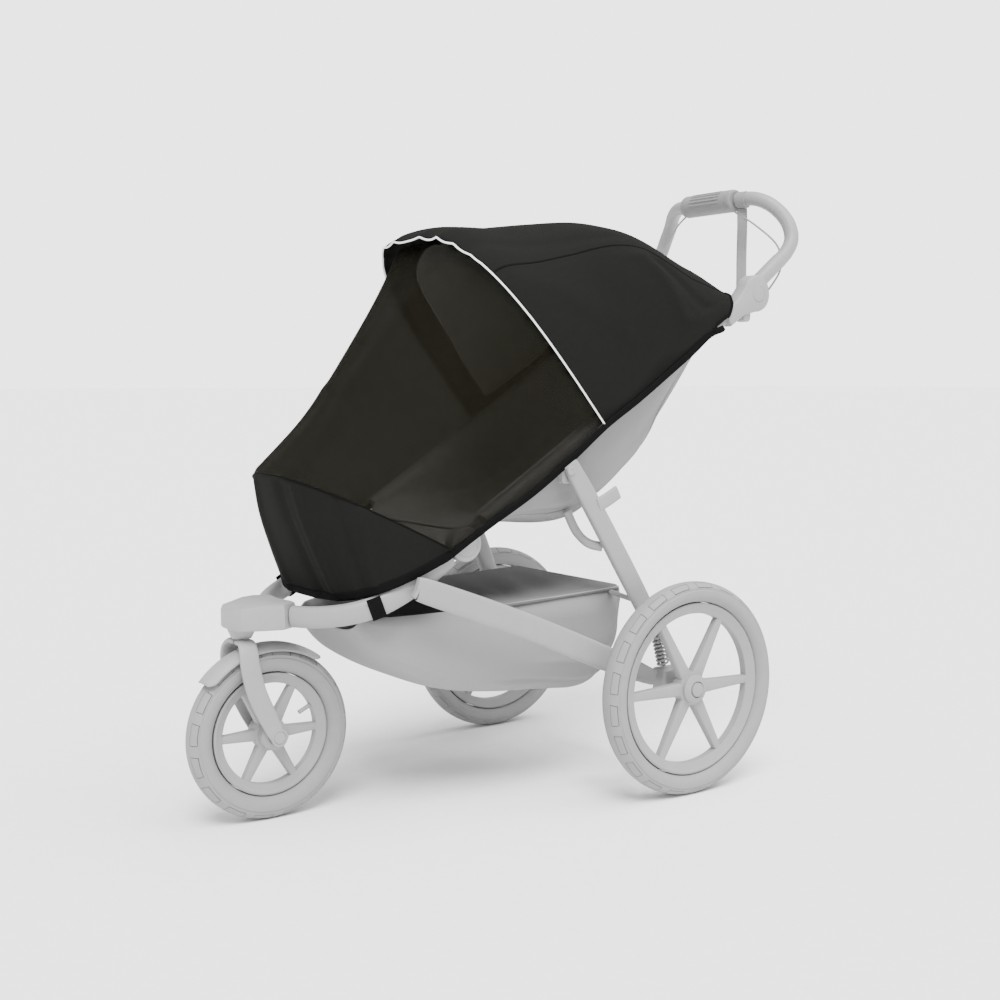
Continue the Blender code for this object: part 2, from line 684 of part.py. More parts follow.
def build_head(finish):
    """Head block, stem, fork crown and mudguard over the front wheel."""
    right = [(-x, y) for x, y in reversed(HEAD_OUTLINE[1:-1])]
    plan_block("head_block", list(HEAD_OUTLINE) + right, 0.3440, 0.3905, finish)
    bm = bmesh.new()
    bmesh.ops.create_cone(
        bm, cap_ends=True, segments=20, radius1=0.018, radius2=0.025, depth=0.0105)
    stem = add_mesh("head_stem", bm, finish)
    stem.location = (0, -0.5380, 0.3322)
    block("fork_crown", (-0.0400, -0.5570, 0.3130), (0.0400, -0.5180, 0.3265), finish)

    def guard(across, share):
        turn = radians(53 + 87 * share)
        side = 2 * across - 1
        radius = 0.1628 - 0.0120 * abs(side) ** 3
        return Vector((
            0.0265 * side,
            FRONT_AXLE_Y + radius * cos(turn),
            FRONT_WHEEL_R + radius * sin(turn),
        ))

    wheel_centre = (0, FRONT_AXLE_Y, FRONT_WHEEL_R)
    sheet("mudguard", guard, (8, 16), finish, wheel_centre, 0.0025)


def build_soft_goods():
    """The stroller's seat, leg rest, inner canopy, basket and its lid."""
    seat_cloth = material("stroller_cloth", GREY, 0.9)

    def seat(around, along):
        return arch_point(rib_at(SEAT_RIBS, along), around)

    def canopy(around, along):
        return arch_point(rib_at(CANOPY_RIBS, along), around)

    def basket(around, along):
        return arch_point(rib_at(BASKET_RIBS, along), around)

    def leg_rest(around, along):
        sag = 0.012 * sin(pi * around) * sin(pi * along)
        return Vector((0.150 * (1 - 2 * around), -0.1860 - 0.165 * along, 0.500 - 0.064 * along - sag))

    def lid(around, along):
        sag = 0.006 * sin(pi * around) * sin(pi * along)
        return Vector((0.168 * (1 - 2 * around), 0.170 - 0.350 * along, 0.3808 - 0.0125 * along - sag))

    sheet("seat", seat, (14, 11), seat_cloth, (0, 0.0, 0.72), 0.003)
    sheet("canopy_inner", canopy, (20, 7), seat_cloth, (0, 0.1, 0.8), 0.0015)
    sheet("basket", basket, (14, 10), seat_cloth, (0, -0.05, 0.34), 0.003)
    sheet("leg_rest", leg_rest, (4, 4), seat_cloth, (0, -0.3, 0.6), 0.006)
    sheet("basket_lid", lid, (6, 6), seat_cloth, (0, 0, 0.5), 0.002)


def build_wheels():
    rear = dict(radius=REAR_WHEEL_R, rim=0.162, opening=0.140, hub=0.027, hub_length=0.052,
                spoke_turn=pi / 6)
    wheel("rear_left", (TRACK_HALF, REAR_AXLE_Y, REAR_WHEEL_R), **rear)
    wheel("rear_right", (-TRACK_HALF, REAR_AXLE_Y, REAR_WHEEL_R), **rear)
    wheel("front", (0, FRONT_AXLE_Y, FRONT_WHEEL_R), radius=FRONT_WHEEL_R, rim=0.110,
          opening=0.090, hub=0.020, hub_length=0.0730, spoke_turn=pi / 2)


for old in list(bpy.data.objects):
    bpy.data.objects.remove(old, do_unlink=True)
PARTS = collection("stroller_mosquito_net")
build_cover()
build_frame()
build_soft_goods()
build_wheels()
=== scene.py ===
# %% [markdown]
# # A mosquito net over a three-wheel stroller
#
# A stroller net is sewn from three kinds of cloth: a sheer black net, a plain
# black cloth for the hood and the foot panel, and tapes that bind the edges.
# It hangs over the stroller, so its shape comes from what is under it. This
# lesson loads the solid model first, because every piece has to sit on it.

# %% Load the fixed model
import json
from collections import namedtuple
from math import atan2, copysign, cos, exp, floor, hypot, pi, radians, sin

import bmesh
import bpy
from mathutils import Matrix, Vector

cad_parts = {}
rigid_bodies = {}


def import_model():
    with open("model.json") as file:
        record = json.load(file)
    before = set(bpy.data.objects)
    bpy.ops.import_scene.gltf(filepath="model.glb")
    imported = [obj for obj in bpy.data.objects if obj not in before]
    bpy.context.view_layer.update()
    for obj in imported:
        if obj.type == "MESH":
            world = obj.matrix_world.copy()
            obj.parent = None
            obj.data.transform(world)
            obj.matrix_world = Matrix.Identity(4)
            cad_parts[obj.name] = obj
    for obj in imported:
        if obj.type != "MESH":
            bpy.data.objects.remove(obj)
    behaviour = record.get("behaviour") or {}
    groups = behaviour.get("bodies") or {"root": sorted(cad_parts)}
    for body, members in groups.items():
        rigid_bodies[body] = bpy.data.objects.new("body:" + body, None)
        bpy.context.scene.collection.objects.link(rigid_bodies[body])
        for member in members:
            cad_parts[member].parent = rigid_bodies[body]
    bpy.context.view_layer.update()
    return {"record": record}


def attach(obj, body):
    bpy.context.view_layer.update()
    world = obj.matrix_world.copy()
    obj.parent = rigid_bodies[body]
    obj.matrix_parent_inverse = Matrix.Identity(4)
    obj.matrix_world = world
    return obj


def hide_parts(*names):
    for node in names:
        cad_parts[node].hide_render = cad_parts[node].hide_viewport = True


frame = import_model()

# %% [markdown]
# The camera comes next, because it decides what has to look right. It stands
# low at the front left, a little above the hem, as a catalogue photographer
# would place it. Its place was worked out from the wheels, whose true circles
# show how far away and how wide the lens is.

# %% Camera
CAMERA_PLACE = (2.2064, -1.5412, 0.7768)
CAMERA_AZIMUTH = radians(54.867)
CAMERA_DOWN = radians(5.023)
CAMERA_LENS = 49.94

camera_data = bpy.data.cameras.new("camera")
camera_data.lens = CAMERA_LENS
camera = bpy.data.objects.new("camera", camera_data)
camera.location = CAMERA_PLACE
camera.rotation_euler = (pi / 2 - CAMERA_DOWN, 0, CAMERA_AZIMUTH)
bpy.context.scene.collection.objects.link(camera)
bpy.context.scene.camera = camera

# %% [markdown]
# The product stands in a white room with no visible corner. Two wide suns give
# soft shadows that are the same all over the floor, which a near lamp couldn't
# do. The room itself lights less than it shows, so the shadows keep some depth
# and the horizon still melts into the floor.

# %% Floor and light
FLOOR_SIZE = 200.0
ROOM_SEEN = 3.3
ROOM_LIGHT = 1.05
bpy.ops.mesh.primitive_plane_add(size=FLOOR_SIZE)
floor_sheet = bpy.context.object
floor_sheet.name = "floor_sheet"


def wide_sun(name, elevation, azimuth, strength, spread):
    """A very soft sun: where it stands in degrees, and how wide it is."""
    data = bpy.data.lights.new(name, "SUN")
    data.energy = strength
    data.angle = radians(spread)
    sun = bpy.data.objects.new(name, data)
    up, turn = radians(elevation), radians(azimuth)
    to_sun = Vector((cos(up) * cos(turn), cos(up) * sin(turn), sin(up)))
    sun.rotation_euler = to_sun.to_track_quat("Z", "Y").to_euler()
    bpy.context.scene.collection.objects.link(sun)


wide_sun("key_sun", 58, -35, 5.4, 30)
wide_sun("rear_sun", 66, 60, 3.0, 50)
room = bpy.data.worlds.new("white_room")
room.use_nodes = True
backdrop = room.node_tree.nodes["Background"]
ray = room.node_tree.nodes.new("ShaderNodeLightPath")
level = room.node_tree.nodes.new("ShaderNodeMapRange")
level.inputs["To Min"].default_value = ROOM_LIGHT
level.inputs["To Max"].default_value = ROOM_SEEN
room.node_tree.links.new(ray.outputs["Is Camera Ray"], level.inputs["Value"])
room.node_tree.links.new(level.outputs["Result"], backdrop.inputs["Strength"])
backdrop.inputs["Color"].default_value = (1.0, 1.0, 1.0, 1.0)
bpy.context.scene.world = room

# %% [markdown]
# Every finish here is one Principled shader with a small procedural pattern.
# A maker's cloth has two scales to show: the weave, under a millimetre, with a
# painted highlight on the thread crowns, and a slow unevenness where the cloth was
# handled. Both are read from the piece's own UV map, which is laid out in metres,
# so a thread keeps its width.

# %% Node helpers


class Finish:
    """A material under construction: its nodes are added one at a time."""

    def __init__(self, name, colour, roughness, **sockets):
        self.material = bpy.data.materials.new(name)
        self.material.use_nodes = True
        self.tree = self.material.node_tree
        self.shader = self.tree.nodes["Principled BSDF"]
        self.set("Base Color", (*colour, 1.0))
        self.set("Roughness", roughness)
        for socket, value in sockets.items():
            self.set(socket.replace("_", " "), value)
        self.material.diffuse_color = (*colour, 1.0)

    def set(self, socket, value):
        self.shader.inputs[socket].default_value = value

    def node(self, kind, inputs=(), **settings):
        """Add a node. inputs maps a socket to a value or to another output."""
        made = self.tree.nodes.new("ShaderNode" + kind)
        for key, value in settings.items():
            setattr(made, key, value)
        for socket, value in dict(inputs).items():
            if isinstance(value, bpy.types.NodeSocket):
                self.tree.links.new(value, made.inputs[socket])
            else:
                made.inputs[socket].default_value = value
        return made

    def place(self, scale, on_uv):
        """Coordinates in metres times scale, on the UV map or the object."""
        where = self.node("TexCoord").outputs["UV" if on_uv else "Object"]
        return self.node("Mapping", {"Vector": where, "Scale": scale}).outputs["Vector"]

    def threads(self, place, axis):
        """One set of parallel threads: 0 between them and 1 on their crowns."""
        wave = self.node("TexWave", {"Vector": place, "Scale": 1.0}, wave_type="BANDS",
                         bands_direction=axis, wave_profile="SIN")
        return wave.outputs["Fac"]

    def math(self, operation, first, second):
        return self.node("Math", {0: first, 1: second}, operation=operation).outputs[0]

    def mix(self, share, first, second):
        """Blend two colours by share, which may come from a pattern."""
        made = self.node("Mix", data_type="RGBA")
        for socket, value in ((made.inputs[0], share), (made.inputs[6], first), (made.inputs[7], second)):
            if isinstance(value, bpy.types.NodeSocket):
                self.tree.links.new(value, socket)
            elif isinstance(value, tuple):
                socket.default_value = (*value, 1.0)
            else:
                socket.default_value = value
        return made.outputs[2]

    def link(self, output, socket):
        self.tree.links.new(output, self.shader.inputs[socket])

    def bump(self, height, strength, distance):
        made = self.node("Bump", {"Height": height, "Strength": strength, "Distance": distance})
        self.link(made.outputs["Normal"], "Normal")


WAVE_PITCH = pi / 10


def woven_cloth(name, colour, pitch, roughness=0.85, unevenness=0.15):
    """Plain weave: two crossed sets of threads with a painted highlight on their crowns, and slow uneven shading."""
    cloth = Finish(name, colour, roughness, Specular_IOR_Level=0.05)
    turns = WAVE_PITCH * 2 / pitch
    place = cloth.place((turns, turns, 1.0), on_uv=True)
    weave = cloth.math("MULTIPLY", cloth.threads(place, "X"), cloth.threads(place, "Y"))
    slow = cloth.node("TexNoise", {"Vector": cloth.place((14.0, 14.0, 1.0), True), "Detail": 3.0,
                                   "Roughness": 0.6})
    dark = tuple(c * (1 - unevenness) for c in colour)
    light = tuple(c * (1 + unevenness) for c in colour)
    shade = cloth.mix(slow.outputs["Fac"], dark, light)
    # The thread crowns are painted 1.35 times lighter: a painted highlight, as if light caught them.
    cloth.link(cloth.mix(weave, shade, tuple(c * 1.35 for c in colour)), "Base Color")
    cloth.bump(weave, 0.35, 0.0003)
    return cloth.material


LIGHT_SHARE = 0.85


def sheer_net(name, colour, pitch, cover_hole, cover_thread):
    """Fine mosquito net: dark threads, and holes that let light through.

    Light on its way to what is inside meets less net than the eye does, so the
    inside is lit as it would be through real holes of half a millimetre.
    """
    net = Finish(name, colour, 0.75, Specular_IOR_Level=0.05)
    turns = WAVE_PITCH * 2 / pitch
    place = net.place((turns, turns, 1.0), on_uv=True)
    grid = net.math("MAXIMUM", net.threads(place, "X"), net.threads(place, "Y"))
    thread = net.node("MapRange", {"Value": grid, "From Min": 0.72, "From Max": 0.92,
                                   "To Min": cover_hole, "To Max": cover_thread})
    ray = net.tree.nodes.new("ShaderNodeLightPath")
    lighting = net.math("MAXIMUM", ray.outputs["Is Shadow Ray"], ray.outputs["Is Diffuse Ray"])
    passed = net.math("MULTIPLY", lighting, LIGHT_SHARE)
    net.link(net.math("MULTIPLY", thread.outputs["Result"], net.math("SUBTRACT", 1.0, passed)), "Alpha")
    net.bump(grid, 0.2, 0.0002)
    return net.material


def moulded(name, colour, roughness, grain=900.0, strength=0.12):
    """Painted or moulded surface with a fine grain and faint mottling."""
    skin = Finish(name, colour, roughness, Specular_IOR_Level=0.25)
    slow = skin.node("TexNoise", {"Vector": skin.place((9.0, 9.0, 9.0), False), "Detail": 2.0})
    dark = tuple(c * 0.94 for c in colour)
    light = tuple(min(c * 1.05, 0.95) for c in colour)
    skin.link(skin.mix(slow.outputs["Fac"], dark, light), "Base Color")
    fine = skin.node("TexNoise", {"Vector": skin.place((grain, grain, grain), False), "Detail": 1.0})
    skin.bump(fine.outputs["Fac"], strength, 0.0002)
    return skin.material


# %% Finishes
BLACK = (0.0079, 0.0079, 0.0073)
PALE = 0.27
NET = sheer_net("net", (0.0042, 0.0037, 0.0016), 0.0018, 0.66, 0.88)
HOOD_CLOTH = woven_cloth("hood_cloth", BLACK, 0.0009)
FOOT_CLOTH = woven_cloth("foot_cloth", BLACK, 0.0009)
BINDING = woven_cloth("binding", (0.0035, 0.0035, 0.0035), 0.0012)
PIPING = woven_cloth("piping", (0.82, 0.82, 0.82), 0.0008, unevenness=0.03)
WEBBING = woven_cloth("webbing", (0.0040, 0.0040, 0.0040), 0.0022)
SEAT_CLOTH = woven_cloth("seat_cloth", (0.23, 0.23, 0.23), 0.0014, unevenness=0.05)
# The lining is the seat's grey cloth painted lighter: painted light that stands in for the light the net keeps from
# the inside of the cover.
LINING_PAINTED_LIGHT = woven_cloth("lining", (0.38, 0.38, 0.37), 0.0014, unevenness=0.05)
# The lid is the basket's cloth painted darker: painted shade for the shadow that the seat casts on it.
LID_CLOTH_PAINTED_SHADE = woven_cloth("lid_painted_shade_cloth", (0.12, 0.12, 0.12), 0.0014, unevenness=0.05)
BASKET_CLOTH = woven_cloth("basket_cloth", (0.24, 0.24, 0.24), 0.0014, unevenness=0.05)
FRAME_TUBE = moulded("frame_tube", (PALE, PALE, PALE), 0.4)
PLASTIC = moulded("plastic", (0.29, 0.29, 0.29), 0.5, 700.0, 0.15)
GRIP = moulded("grip", (0.22, 0.22, 0.22), 0.65, 500.0, 0.2)
TYRE = moulded("tyre", (0.25, 0.25, 0.25), 0.7, 400.0, 0.3)
RIM = moulded("rim", (PALE, PALE, PALE), 0.45)
FLOOR = moulded("floor_white", (0.93, 0.93, 0.93), 0.9, 200.0, 0.0)
FLOOR.node_tree.nodes["Principled BSDF"].inputs["Specular IOR Level"].default_value = 0.0
floor_sheet.data.materials.append(FLOOR)
FINISHES = {
    "net": NET, "hood_cloth": HOOD_CLOTH, "foot_cloth": FOOT_CLOTH, "binding": BINDING,
    "piping": PIPING, "webbing": WEBBING, "seat_cloth": SEAT_CLOTH, "basket_cloth": BASKET_CLOTH,
    "frame_tube": FRAME_TUBE, "plastic": PLASTIC, "grip": GRIP, "tyre": TYRE, "rim": RIM,
}

# %% [markdown]
# Hard pieces of the stroller whose solid is already right keep their solid,
# and only get a finish. A node's slot in the record says which finish it is.

# %% Finish the solid nodes
for entry in frame["record"]["subparts"]:
    solid = bpy.data.objects[entry["node"]]
    solid.data.materials.clear()
    solid.data.materials.append(FINISHES[entry["material_slot"]])

# %% [markdown]
# The cover could be draped by simulation, but its folds are known from how it
# is stretched: taut over the bows, drawn in between hood and foot. So it is
# laid over ribs. A rib is one arch from the left hem over the top to the right
# hem, and the cloth is a smooth blend from each rib to the next.

# %% Ribs and the surfaces between them
Rib = namedtuple("Rib", "base_y base_z crown_y crown_z half power lead")
Fold = namedtuple("Fold", "around_a along_a around_b along_b width height")

COVER_HALF = 0.2205
FOOT_HALF = 0.2028
HOOD_RIBS = (
    Rib(0.3600, 0.8735, 0.5120, 0.9660, COVER_HALF, 2.4, 0.43),
    Rib(0.3065, 0.8320, 0.3660, 1.0080, COVER_HALF, 3.3, 1.0),
    Rib(0.2385, 0.7860, 0.1930, 1.0680, COVER_HALF, 4.0, 1.0),
    Rib(0.1685, 0.7400, 0.0250, 1.0670, COVER_HALF, 2.6, 1.0),
    Rib(0.0935, 0.6942, -0.1910, 1.0350, COVER_HALF, 3.1, 1.0),
)
HOOD_SEAM = (0.19, 0.215, 0.25, 0.27, 0.24)
NET_RIBS = (
    Rib(0.0985, 0.6980, -0.1660, 1.0250, 0.2152, 3.0, 1.0),
    Rib(0.0135, 0.6350, -0.2270, 0.9270, 0.2190, 2.65, 1.0),
    Rib(-0.0715, 0.5780, -0.3260, 0.7880, 0.2178, 2.35, 1.0),
    Rib(-0.1560, 0.5300, -0.3900, 0.7040, 0.2130, 2.28, 1.0),
    Rib(-0.2325, 0.4810, -0.4880, 0.6125, 0.2077, 2.21, 1.0),
)
FOOT_RIBS = (
    Rib(-0.2341, 0.4792, -0.4894, 0.6100, 0.2077, 2.21, 1.0),
    Rib(-0.2344, 0.4789, -0.4715, 0.5400, 0.2064, 2.5, 1.0),
    Rib(-0.2347, 0.4786, -0.4450, 0.4700, 0.2048, 2.75, 1.0),
    Rib(-0.2350, 0.4783, -0.4158, 0.4018, 0.2034, 3.0, 1.0),
)
FOOT_EDGE = Rib(-0.2317, 0.4647, -0.4112, 0.3898, FOOT_HALF, 3.1, 1.0)


def spline(points, share):
    """Catmull-Rom blend through points, at a share of 0 to 1 along them."""
    last = len(points) - 1
    place = min(max(share, 0.0), 1.0) * last
    index = min(floor(place), last - 1)
    t = place - index
    p0 = points[max(index - 1, 0)]
    p1 = points[index]
    p2 = points[index + 1]
    p3 = points[min(index + 2, last)]
    blended = []
    for a, b, c, d in zip(p0, p1, p2, p3):
        slope = (c - a) * t
        bend = (2 * a - 5 * b + 4 * c - d) * t * t
        twist = (3 * b - a - 3 * c + d) * t ** 3
        blended.append(0.5 * (2 * b + slope + bend + twist))
    return blended


def arch_point(rib, around):
    """A point of a rib: around is 0 at the left hem and 1 at the right hem."""
    turn = pi * min(max(around, 0.0), 1.0)
    side = copysign(abs(cos(turn)) ** (2 / rib.power), cos(turn))
    rise = abs(sin(turn)) ** (2 / rib.power)
    return Vector((
        rib.half * side,
        rib.base_y + (rib.crown_y - rib.base_y) * rise,
        rib.base_z + (rib.crown_z - rib.base_z) * rise ** rib.lead,
    ))


def over_ribs(ribs):
    """The surface of cloth that lies over these ribs."""
    return lambda around, along: arch_point(Rib(*spline(ribs, along)), around)


def fold_height(folds, around, along):
    """How far the folds lift the cloth at one place of a sheet."""
    lift = 0.0
    for fold in folds:
        run_a = fold.around_b - fold.around_a
        run_l = fold.along_b - fold.along_a
        length = run_a * run_a + run_l * run_l
        offset_a = around - fold.around_a
        offset_l = along - fold.along_a
        share = min(max((offset_a * run_a + offset_l * run_l) / length, 0.0), 1.0)
        off = hypot(offset_a - share * run_a, 0.35 * (offset_l - share * run_l))
        lift += fold.height * exp(-((off / fold.width) ** 2))
    return lift


def folded(surface, folds, edge=0.12):
    """A surface with its folds, which fade out towards the two hems."""
    step = 0.004

    def place(around, along):
        point = surface(around, along)
        across = surface(around + step, along) - surface(around - step, along)
        forward = surface(around, along + step) - surface(around, along - step)
        normal = across.cross(forward)
        if normal.length < 1e-12:
            return point
        normal.normalize()
        fade = min(1.0, around / edge, (1 - around) / edge)
        return point - normal * fold_height(folds, around, along) * fade

    return place


# %% [markdown]
# Each cloth piece starts as a flat grid, like the cloth on the cutting table.
# Its UV map is set in metres while it is flat, then every point is moved to
# its place on the surface, and Solidify gives the cloth its thickness inwards.

# %% Cloth from a flat grid


def cloth_grid(name, place, cells, size, inside, thickness, finish):
    """Lay a grid of cells over place(across, along) and thicken it inwards."""
    bpy.ops.object.select_all(action="DESELECT")
    bpy.ops.mesh.primitive_grid_add(x_subdivisions=cells[0], y_subdivisions=cells[1], size=1.0)
    piece = bpy.context.object
    piece.name = name
    mesh = piece.data
    for loop_uv in mesh.uv_layers.active.data:
        loop_uv.uv = (loop_uv.uv.x * size[0], loop_uv.uv.y * size[1])
    for vert in mesh.vertices:
        vert.co = place(vert.co.x + 0.5, vert.co.y + 0.5)
    mesh.update()
    middle = mesh.polygons[len(mesh.polygons) // 2]
    if middle.normal.dot(middle.center - Vector(inside)) < 0:
        mesh.flip_normals()
    solid = piece.modifiers.new("thickness", "SOLIDIFY")
    solid.thickness = thickness
    solid.offset = -1.0
    bpy.ops.object.modifier_apply(modifier=solid.name)
    bpy.ops.object.shade_smooth()
    mesh.materials.append(finish)
    return piece


def flat_area(piece):
    """The area of one side of a thin sheet, in square metres."""
    return sum(face.area for face in piece.data.polygons) / 2


def cut_cloth(piece, width, length, rests_on):
    """Print a sheet's area beside the size of the cloth that it was cut from."""
    area = min(flat_area(piece), width * length)
    print(piece.name, "covers", round(area, 4), "m2 of a cut", width, "x", length)
    list(rests_on)


def dress(piece, slot, *nodes):
    """Put a new piece on the root body in place of solid nodes."""
    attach(piece, "root")
    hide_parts(*nodes)


# %% [markdown]
# The hood is three pieces of plain cloth: a top and two sides, sewn along a
# seam that follows the shoulder. Its front edge isn't stiffened, so it hangs
# in small scallops between the points where the net pulls on it.

# %% Hood surface
HOOD_FOLDS = (
    Fold(0.40, 0.98, 0.45, 0.62, 0.030, -0.0035),
    Fold(0.60, 0.98, 0.56, 0.66, 0.030, -0.0030),
    Fold(0.33, 0.95, 0.31, 0.60, 0.022, 0.0030),
    Fold(0.67, 0.95, 0.70, 0.55, 0.022, 0.0030),
    Fold(0.21, 0.50, 0.05, 0.34, 0.024, -0.0050),
    Fold(0.20, 0.42, 0.09, 0.22, 0.020, 0.0040),
    Fold(0.20, 0.86, 0.06, 0.66, 0.030, -0.0025),
    Fold(0.79, 0.52, 0.94, 0.38, 0.026, -0.0045),
    Fold(0.81, 0.40, 0.90, 0.26, 0.020, 0.0035),
    Fold(0.80, 0.82, 0.93, 0.70, 0.030, -0.0025),
)
SCALLOP_WIDTH = 0.058
SCALLOP_DEPTH = 0.0062
SCALLOP_REACH = 0.07
CREST_RISE, CREST_AT, CREST_REACH = 0.012, 0.94, 0.11
EDGE_DROP = 0.006
REAR_REACH = 0.25
REAR_SHIFT = (
    (0.00, 0.0040, -0.0060), (0.01, 0.0170, -0.0160), (0.04, 0.0190, -0.0195),
    (0.06, 0.0150, -0.0170), (0.10, 0.0050, -0.0105), (0.13, -0.0050, -0.0085),
    (0.16, -0.0128, -0.0065), (0.22, -0.0205, -0.0085), (0.30, -0.0280, -0.0105),
    (0.50, -0.0140, -0.0105),
)
SEAM_GAP = 0.0008
CLOTH = 0.0010
INSIDE_COVER = (0.0, -0.05, 0.65)


def eased(share):
    """A smooth step from 0 to 1."""
    share = min(max(share, 0.0), 1.0)
    return share * share * (3 - 2 * share)


def rear_shift(around):
    """How far the hood's rear edge is drawn over the handle joint."""
    share = min(around, 1 - around)
    for (a, y_a, z_a), (b, y_b, z_b) in zip(REAR_SHIFT, REAR_SHIFT[1:]):
        if share <= b:
            t = (share - a) / (b - a)
            return Vector((0.0, y_a + (y_b - y_a) * t, z_a + (z_b - z_a) * t))
    return Vector((0.0, *REAR_SHIFT[-1][1:]))


def hood_point(around, along):
    """The hood's outer face, its front edge drawn into soft scallops."""
    point = arch_point(Rib(*spline(HOOD_RIBS, along)), around)
    point += rear_shift(around) * eased(1 - along / REAR_REACH)
    on_top = max(0.0, 1 - abs(around - 0.5) / 0.36) ** 0.5
    point.z += CREST_RISE * on_top * eased(1 - abs(along - CREST_AT) / CREST_REACH)
    near_edge = max(0.0, 1 - (1 - along) / SCALLOP_REACH) ** 2
    point.z -= EDGE_DROP * on_top * near_edge
    by_peaks = max(0.0, 1 - abs(around - 0.48) / 0.20) ** 0.5
    wave = abs(sin(pi * (around - 0.425) / SCALLOP_WIDTH))
    point.z -= SCALLOP_DEPTH * near_edge * by_peaks * wave
    return point


hood = folded(hood_point, HOOD_FOLDS, 0.05)


def seam_at(along):
    return spline([(share,) for share in HOOD_SEAM], along)[0]


def hood_top_place(across, along):
    left = seam_at(along) + SEAM_GAP
    return hood(left + (1 - 2 * left) * across, along)


def hood_left_place(across, along):
    return hood((seam_at(along) - SEAM_GAP) * across, along)


def hood_right_place(across, along):
    return hood(1 - (seam_at(along) - SEAM_GAP) * across, along)


# %% Hood pieces
hood_top = cloth_grid("hood_top_cloth", hood_top_place, (110, 100), (0.62, 0.62), INSIDE_COVER,
                      CLOTH, HOOD_CLOTH)
hood_left = cloth_grid("hood_left_cloth", hood_left_place, (50, 100), (0.34, 0.40), INSIDE_COVER,
                       CLOTH, HOOD_CLOTH)
hood_right = cloth_grid("hood_right_cloth", hood_right_place, (50, 100), (0.34, 0.40), INSIDE_COVER,
                        CLOTH, HOOD_CLOTH)
dress(hood_top, "hood_cloth", "hood_top")
dress(hood_left, "hood_cloth", "hood_side_left")
dress(hood_right, "hood_cloth", "hood_side_right")

# %% [markdown]
# The net is one piece. It is sewn under the hood's front edge, drawn in where
# nothing holds it out, and sewn to the foot panel's top edge.

# %% Net body
NET_FOLDS = (
    Fold(0.42, 0.00, 0.46, 0.55, 0.020, -0.0035),
    Fold(0.50, 0.00, 0.50, 0.45, 0.020, 0.0030),
    Fold(0.58, 0.00, 0.54, 0.55, 0.020, -0.0035),
    Fold(0.50, 0.62, 0.46, 1.00, 0.018, 0.0035),
    Fold(0.58, 0.58, 0.60, 1.00, 0.018, -0.0035),
)
# %% Foot panel
FOOT_FOLDS = (
    Fold(0.20, 0.05, 0.215, 0.95, 0.016, -0.0045),
    Fold(0.27, 0.05, 0.265, 0.95, 0.018, 0.0040),
    Fold(0.39, 0.10, 0.385, 0.95, 0.017, -0.0050),
    Fold(0.45, 0.10, 0.445, 0.95, 0.018, 0.0040),
    Fold(0.57, 0.10, 0.560, 0.95, 0.017, -0.0045),
    Fold(0.68, 0.10, 0.665, 0.95, 0.020, 0.0040),
    Fold(0.78, 0.05, 0.770, 0.95, 0.018, -0.0045),
)
foot_smooth = over_ribs(FOOT_RIBS)
foot = folded(foot_smooth, FOOT_FOLDS)
NET_CLOTH = 0.0008
NET_HEM = 0.03
net = folded(over_ribs(NET_RIBS), NET_FOLDS)


def net_place(around, along):
    """The net's outer face, its lowest strip drawn to the foot panel's edge."""
    point = net(around, along)
    share = max(0.0, (along - 1 + NET_HEM) / NET_HEM)
    return point + (foot(around, 0.0) - net(around, 1.0)) * share


net_body = cloth_grid("net_cloth", net_place, (170, 90), (1.02, 0.46), INSIDE_COVER, NET_CLOTH, NET)
dress(net_body, "net", "net_body")
foot_panel = cloth_grid("foot_cloth_panel", foot, (150, 40), (0.72, 0.22), INSIDE_COVER, CLOTH,
                        FOOT_CLOTH)
dress(foot_panel, "foot_cloth", "foot_panel")

cut_cloth(hood_top, 0.62, 0.72, ["canopy_inner"])
cut_cloth(hood_left, 0.42, 0.50, ["canopy_inner"])
cut_cloth(hood_right, 0.42, 0.50, ["canopy_inner"])
cut_cloth(net_body, 1.10, 0.55, ["hood_top_cloth", "foot_cloth_panel"])
cut_cloth(foot_panel, 0.80, 0.24, ["net_cloth"])

# %% [markdown]
# The edges of the cover are bound. A cord of reflective piping runs in the
# hood's front seam, a rolled binding along its rear edge, and one flat tape
# round the whole hem. A cord or rolled edge is a round section drawn along the
# edge of the cloth, so these are curves turned into a mesh.

# %% Round and flat edgings


def outward_line(surface, along, inward, beyond, steps):
    """A line just past an edge of a surface: beyond it by this many metres."""
    line = []
    for i in range(steps + 1):
        around = i / steps
        edge = surface(around, along)
        back = surface(around, along + inward)
        tangent = surface(min(around + 0.01, 1.0), along) - surface(max(around - 0.01, 0.0), along)
        away = (edge - back) - tangent * ((edge - back).dot(tangent) / tangent.length_squared)
        line.append(edge + away.normalized() * beyond)
    return line


def rolled_edge(name, line, radius, finish, flatten=1.0):
    """A round binding or piping cord drawn along a line."""
    curve = bpy.data.curves.new(name, "CURVE")
    curve.dimensions = "3D"
    curve.bevel_depth = radius
    curve.bevel_resolution = 3
    curve.use_fill_caps = True
    spline_line = curve.splines.new("POLY")
    spline_line.points.add(len(line) - 1)
    for point, place in zip(spline_line.points, line):
        point.co = (*place, 1.0)
    piece = bpy.data.objects.new(name, curve)
    bpy.context.scene.collection.objects.link(piece)
    bpy.ops.object.select_all(action="DESELECT")
    piece.select_set(True)
    bpy.context.view_layer.objects.active = piece
    bpy.ops.object.convert(target="MESH")
    piece = bpy.context.object
    bpy.ops.object.mode_set(mode="EDIT")
    bpy.ops.mesh.select_all(action="SELECT")
    bpy.ops.mesh.normals_make_consistent(inside=False)
    bpy.ops.object.mode_set(mode="OBJECT")
    bpy.ops.object.shade_smooth()
    piece.data.materials.append(finish)
    return piece


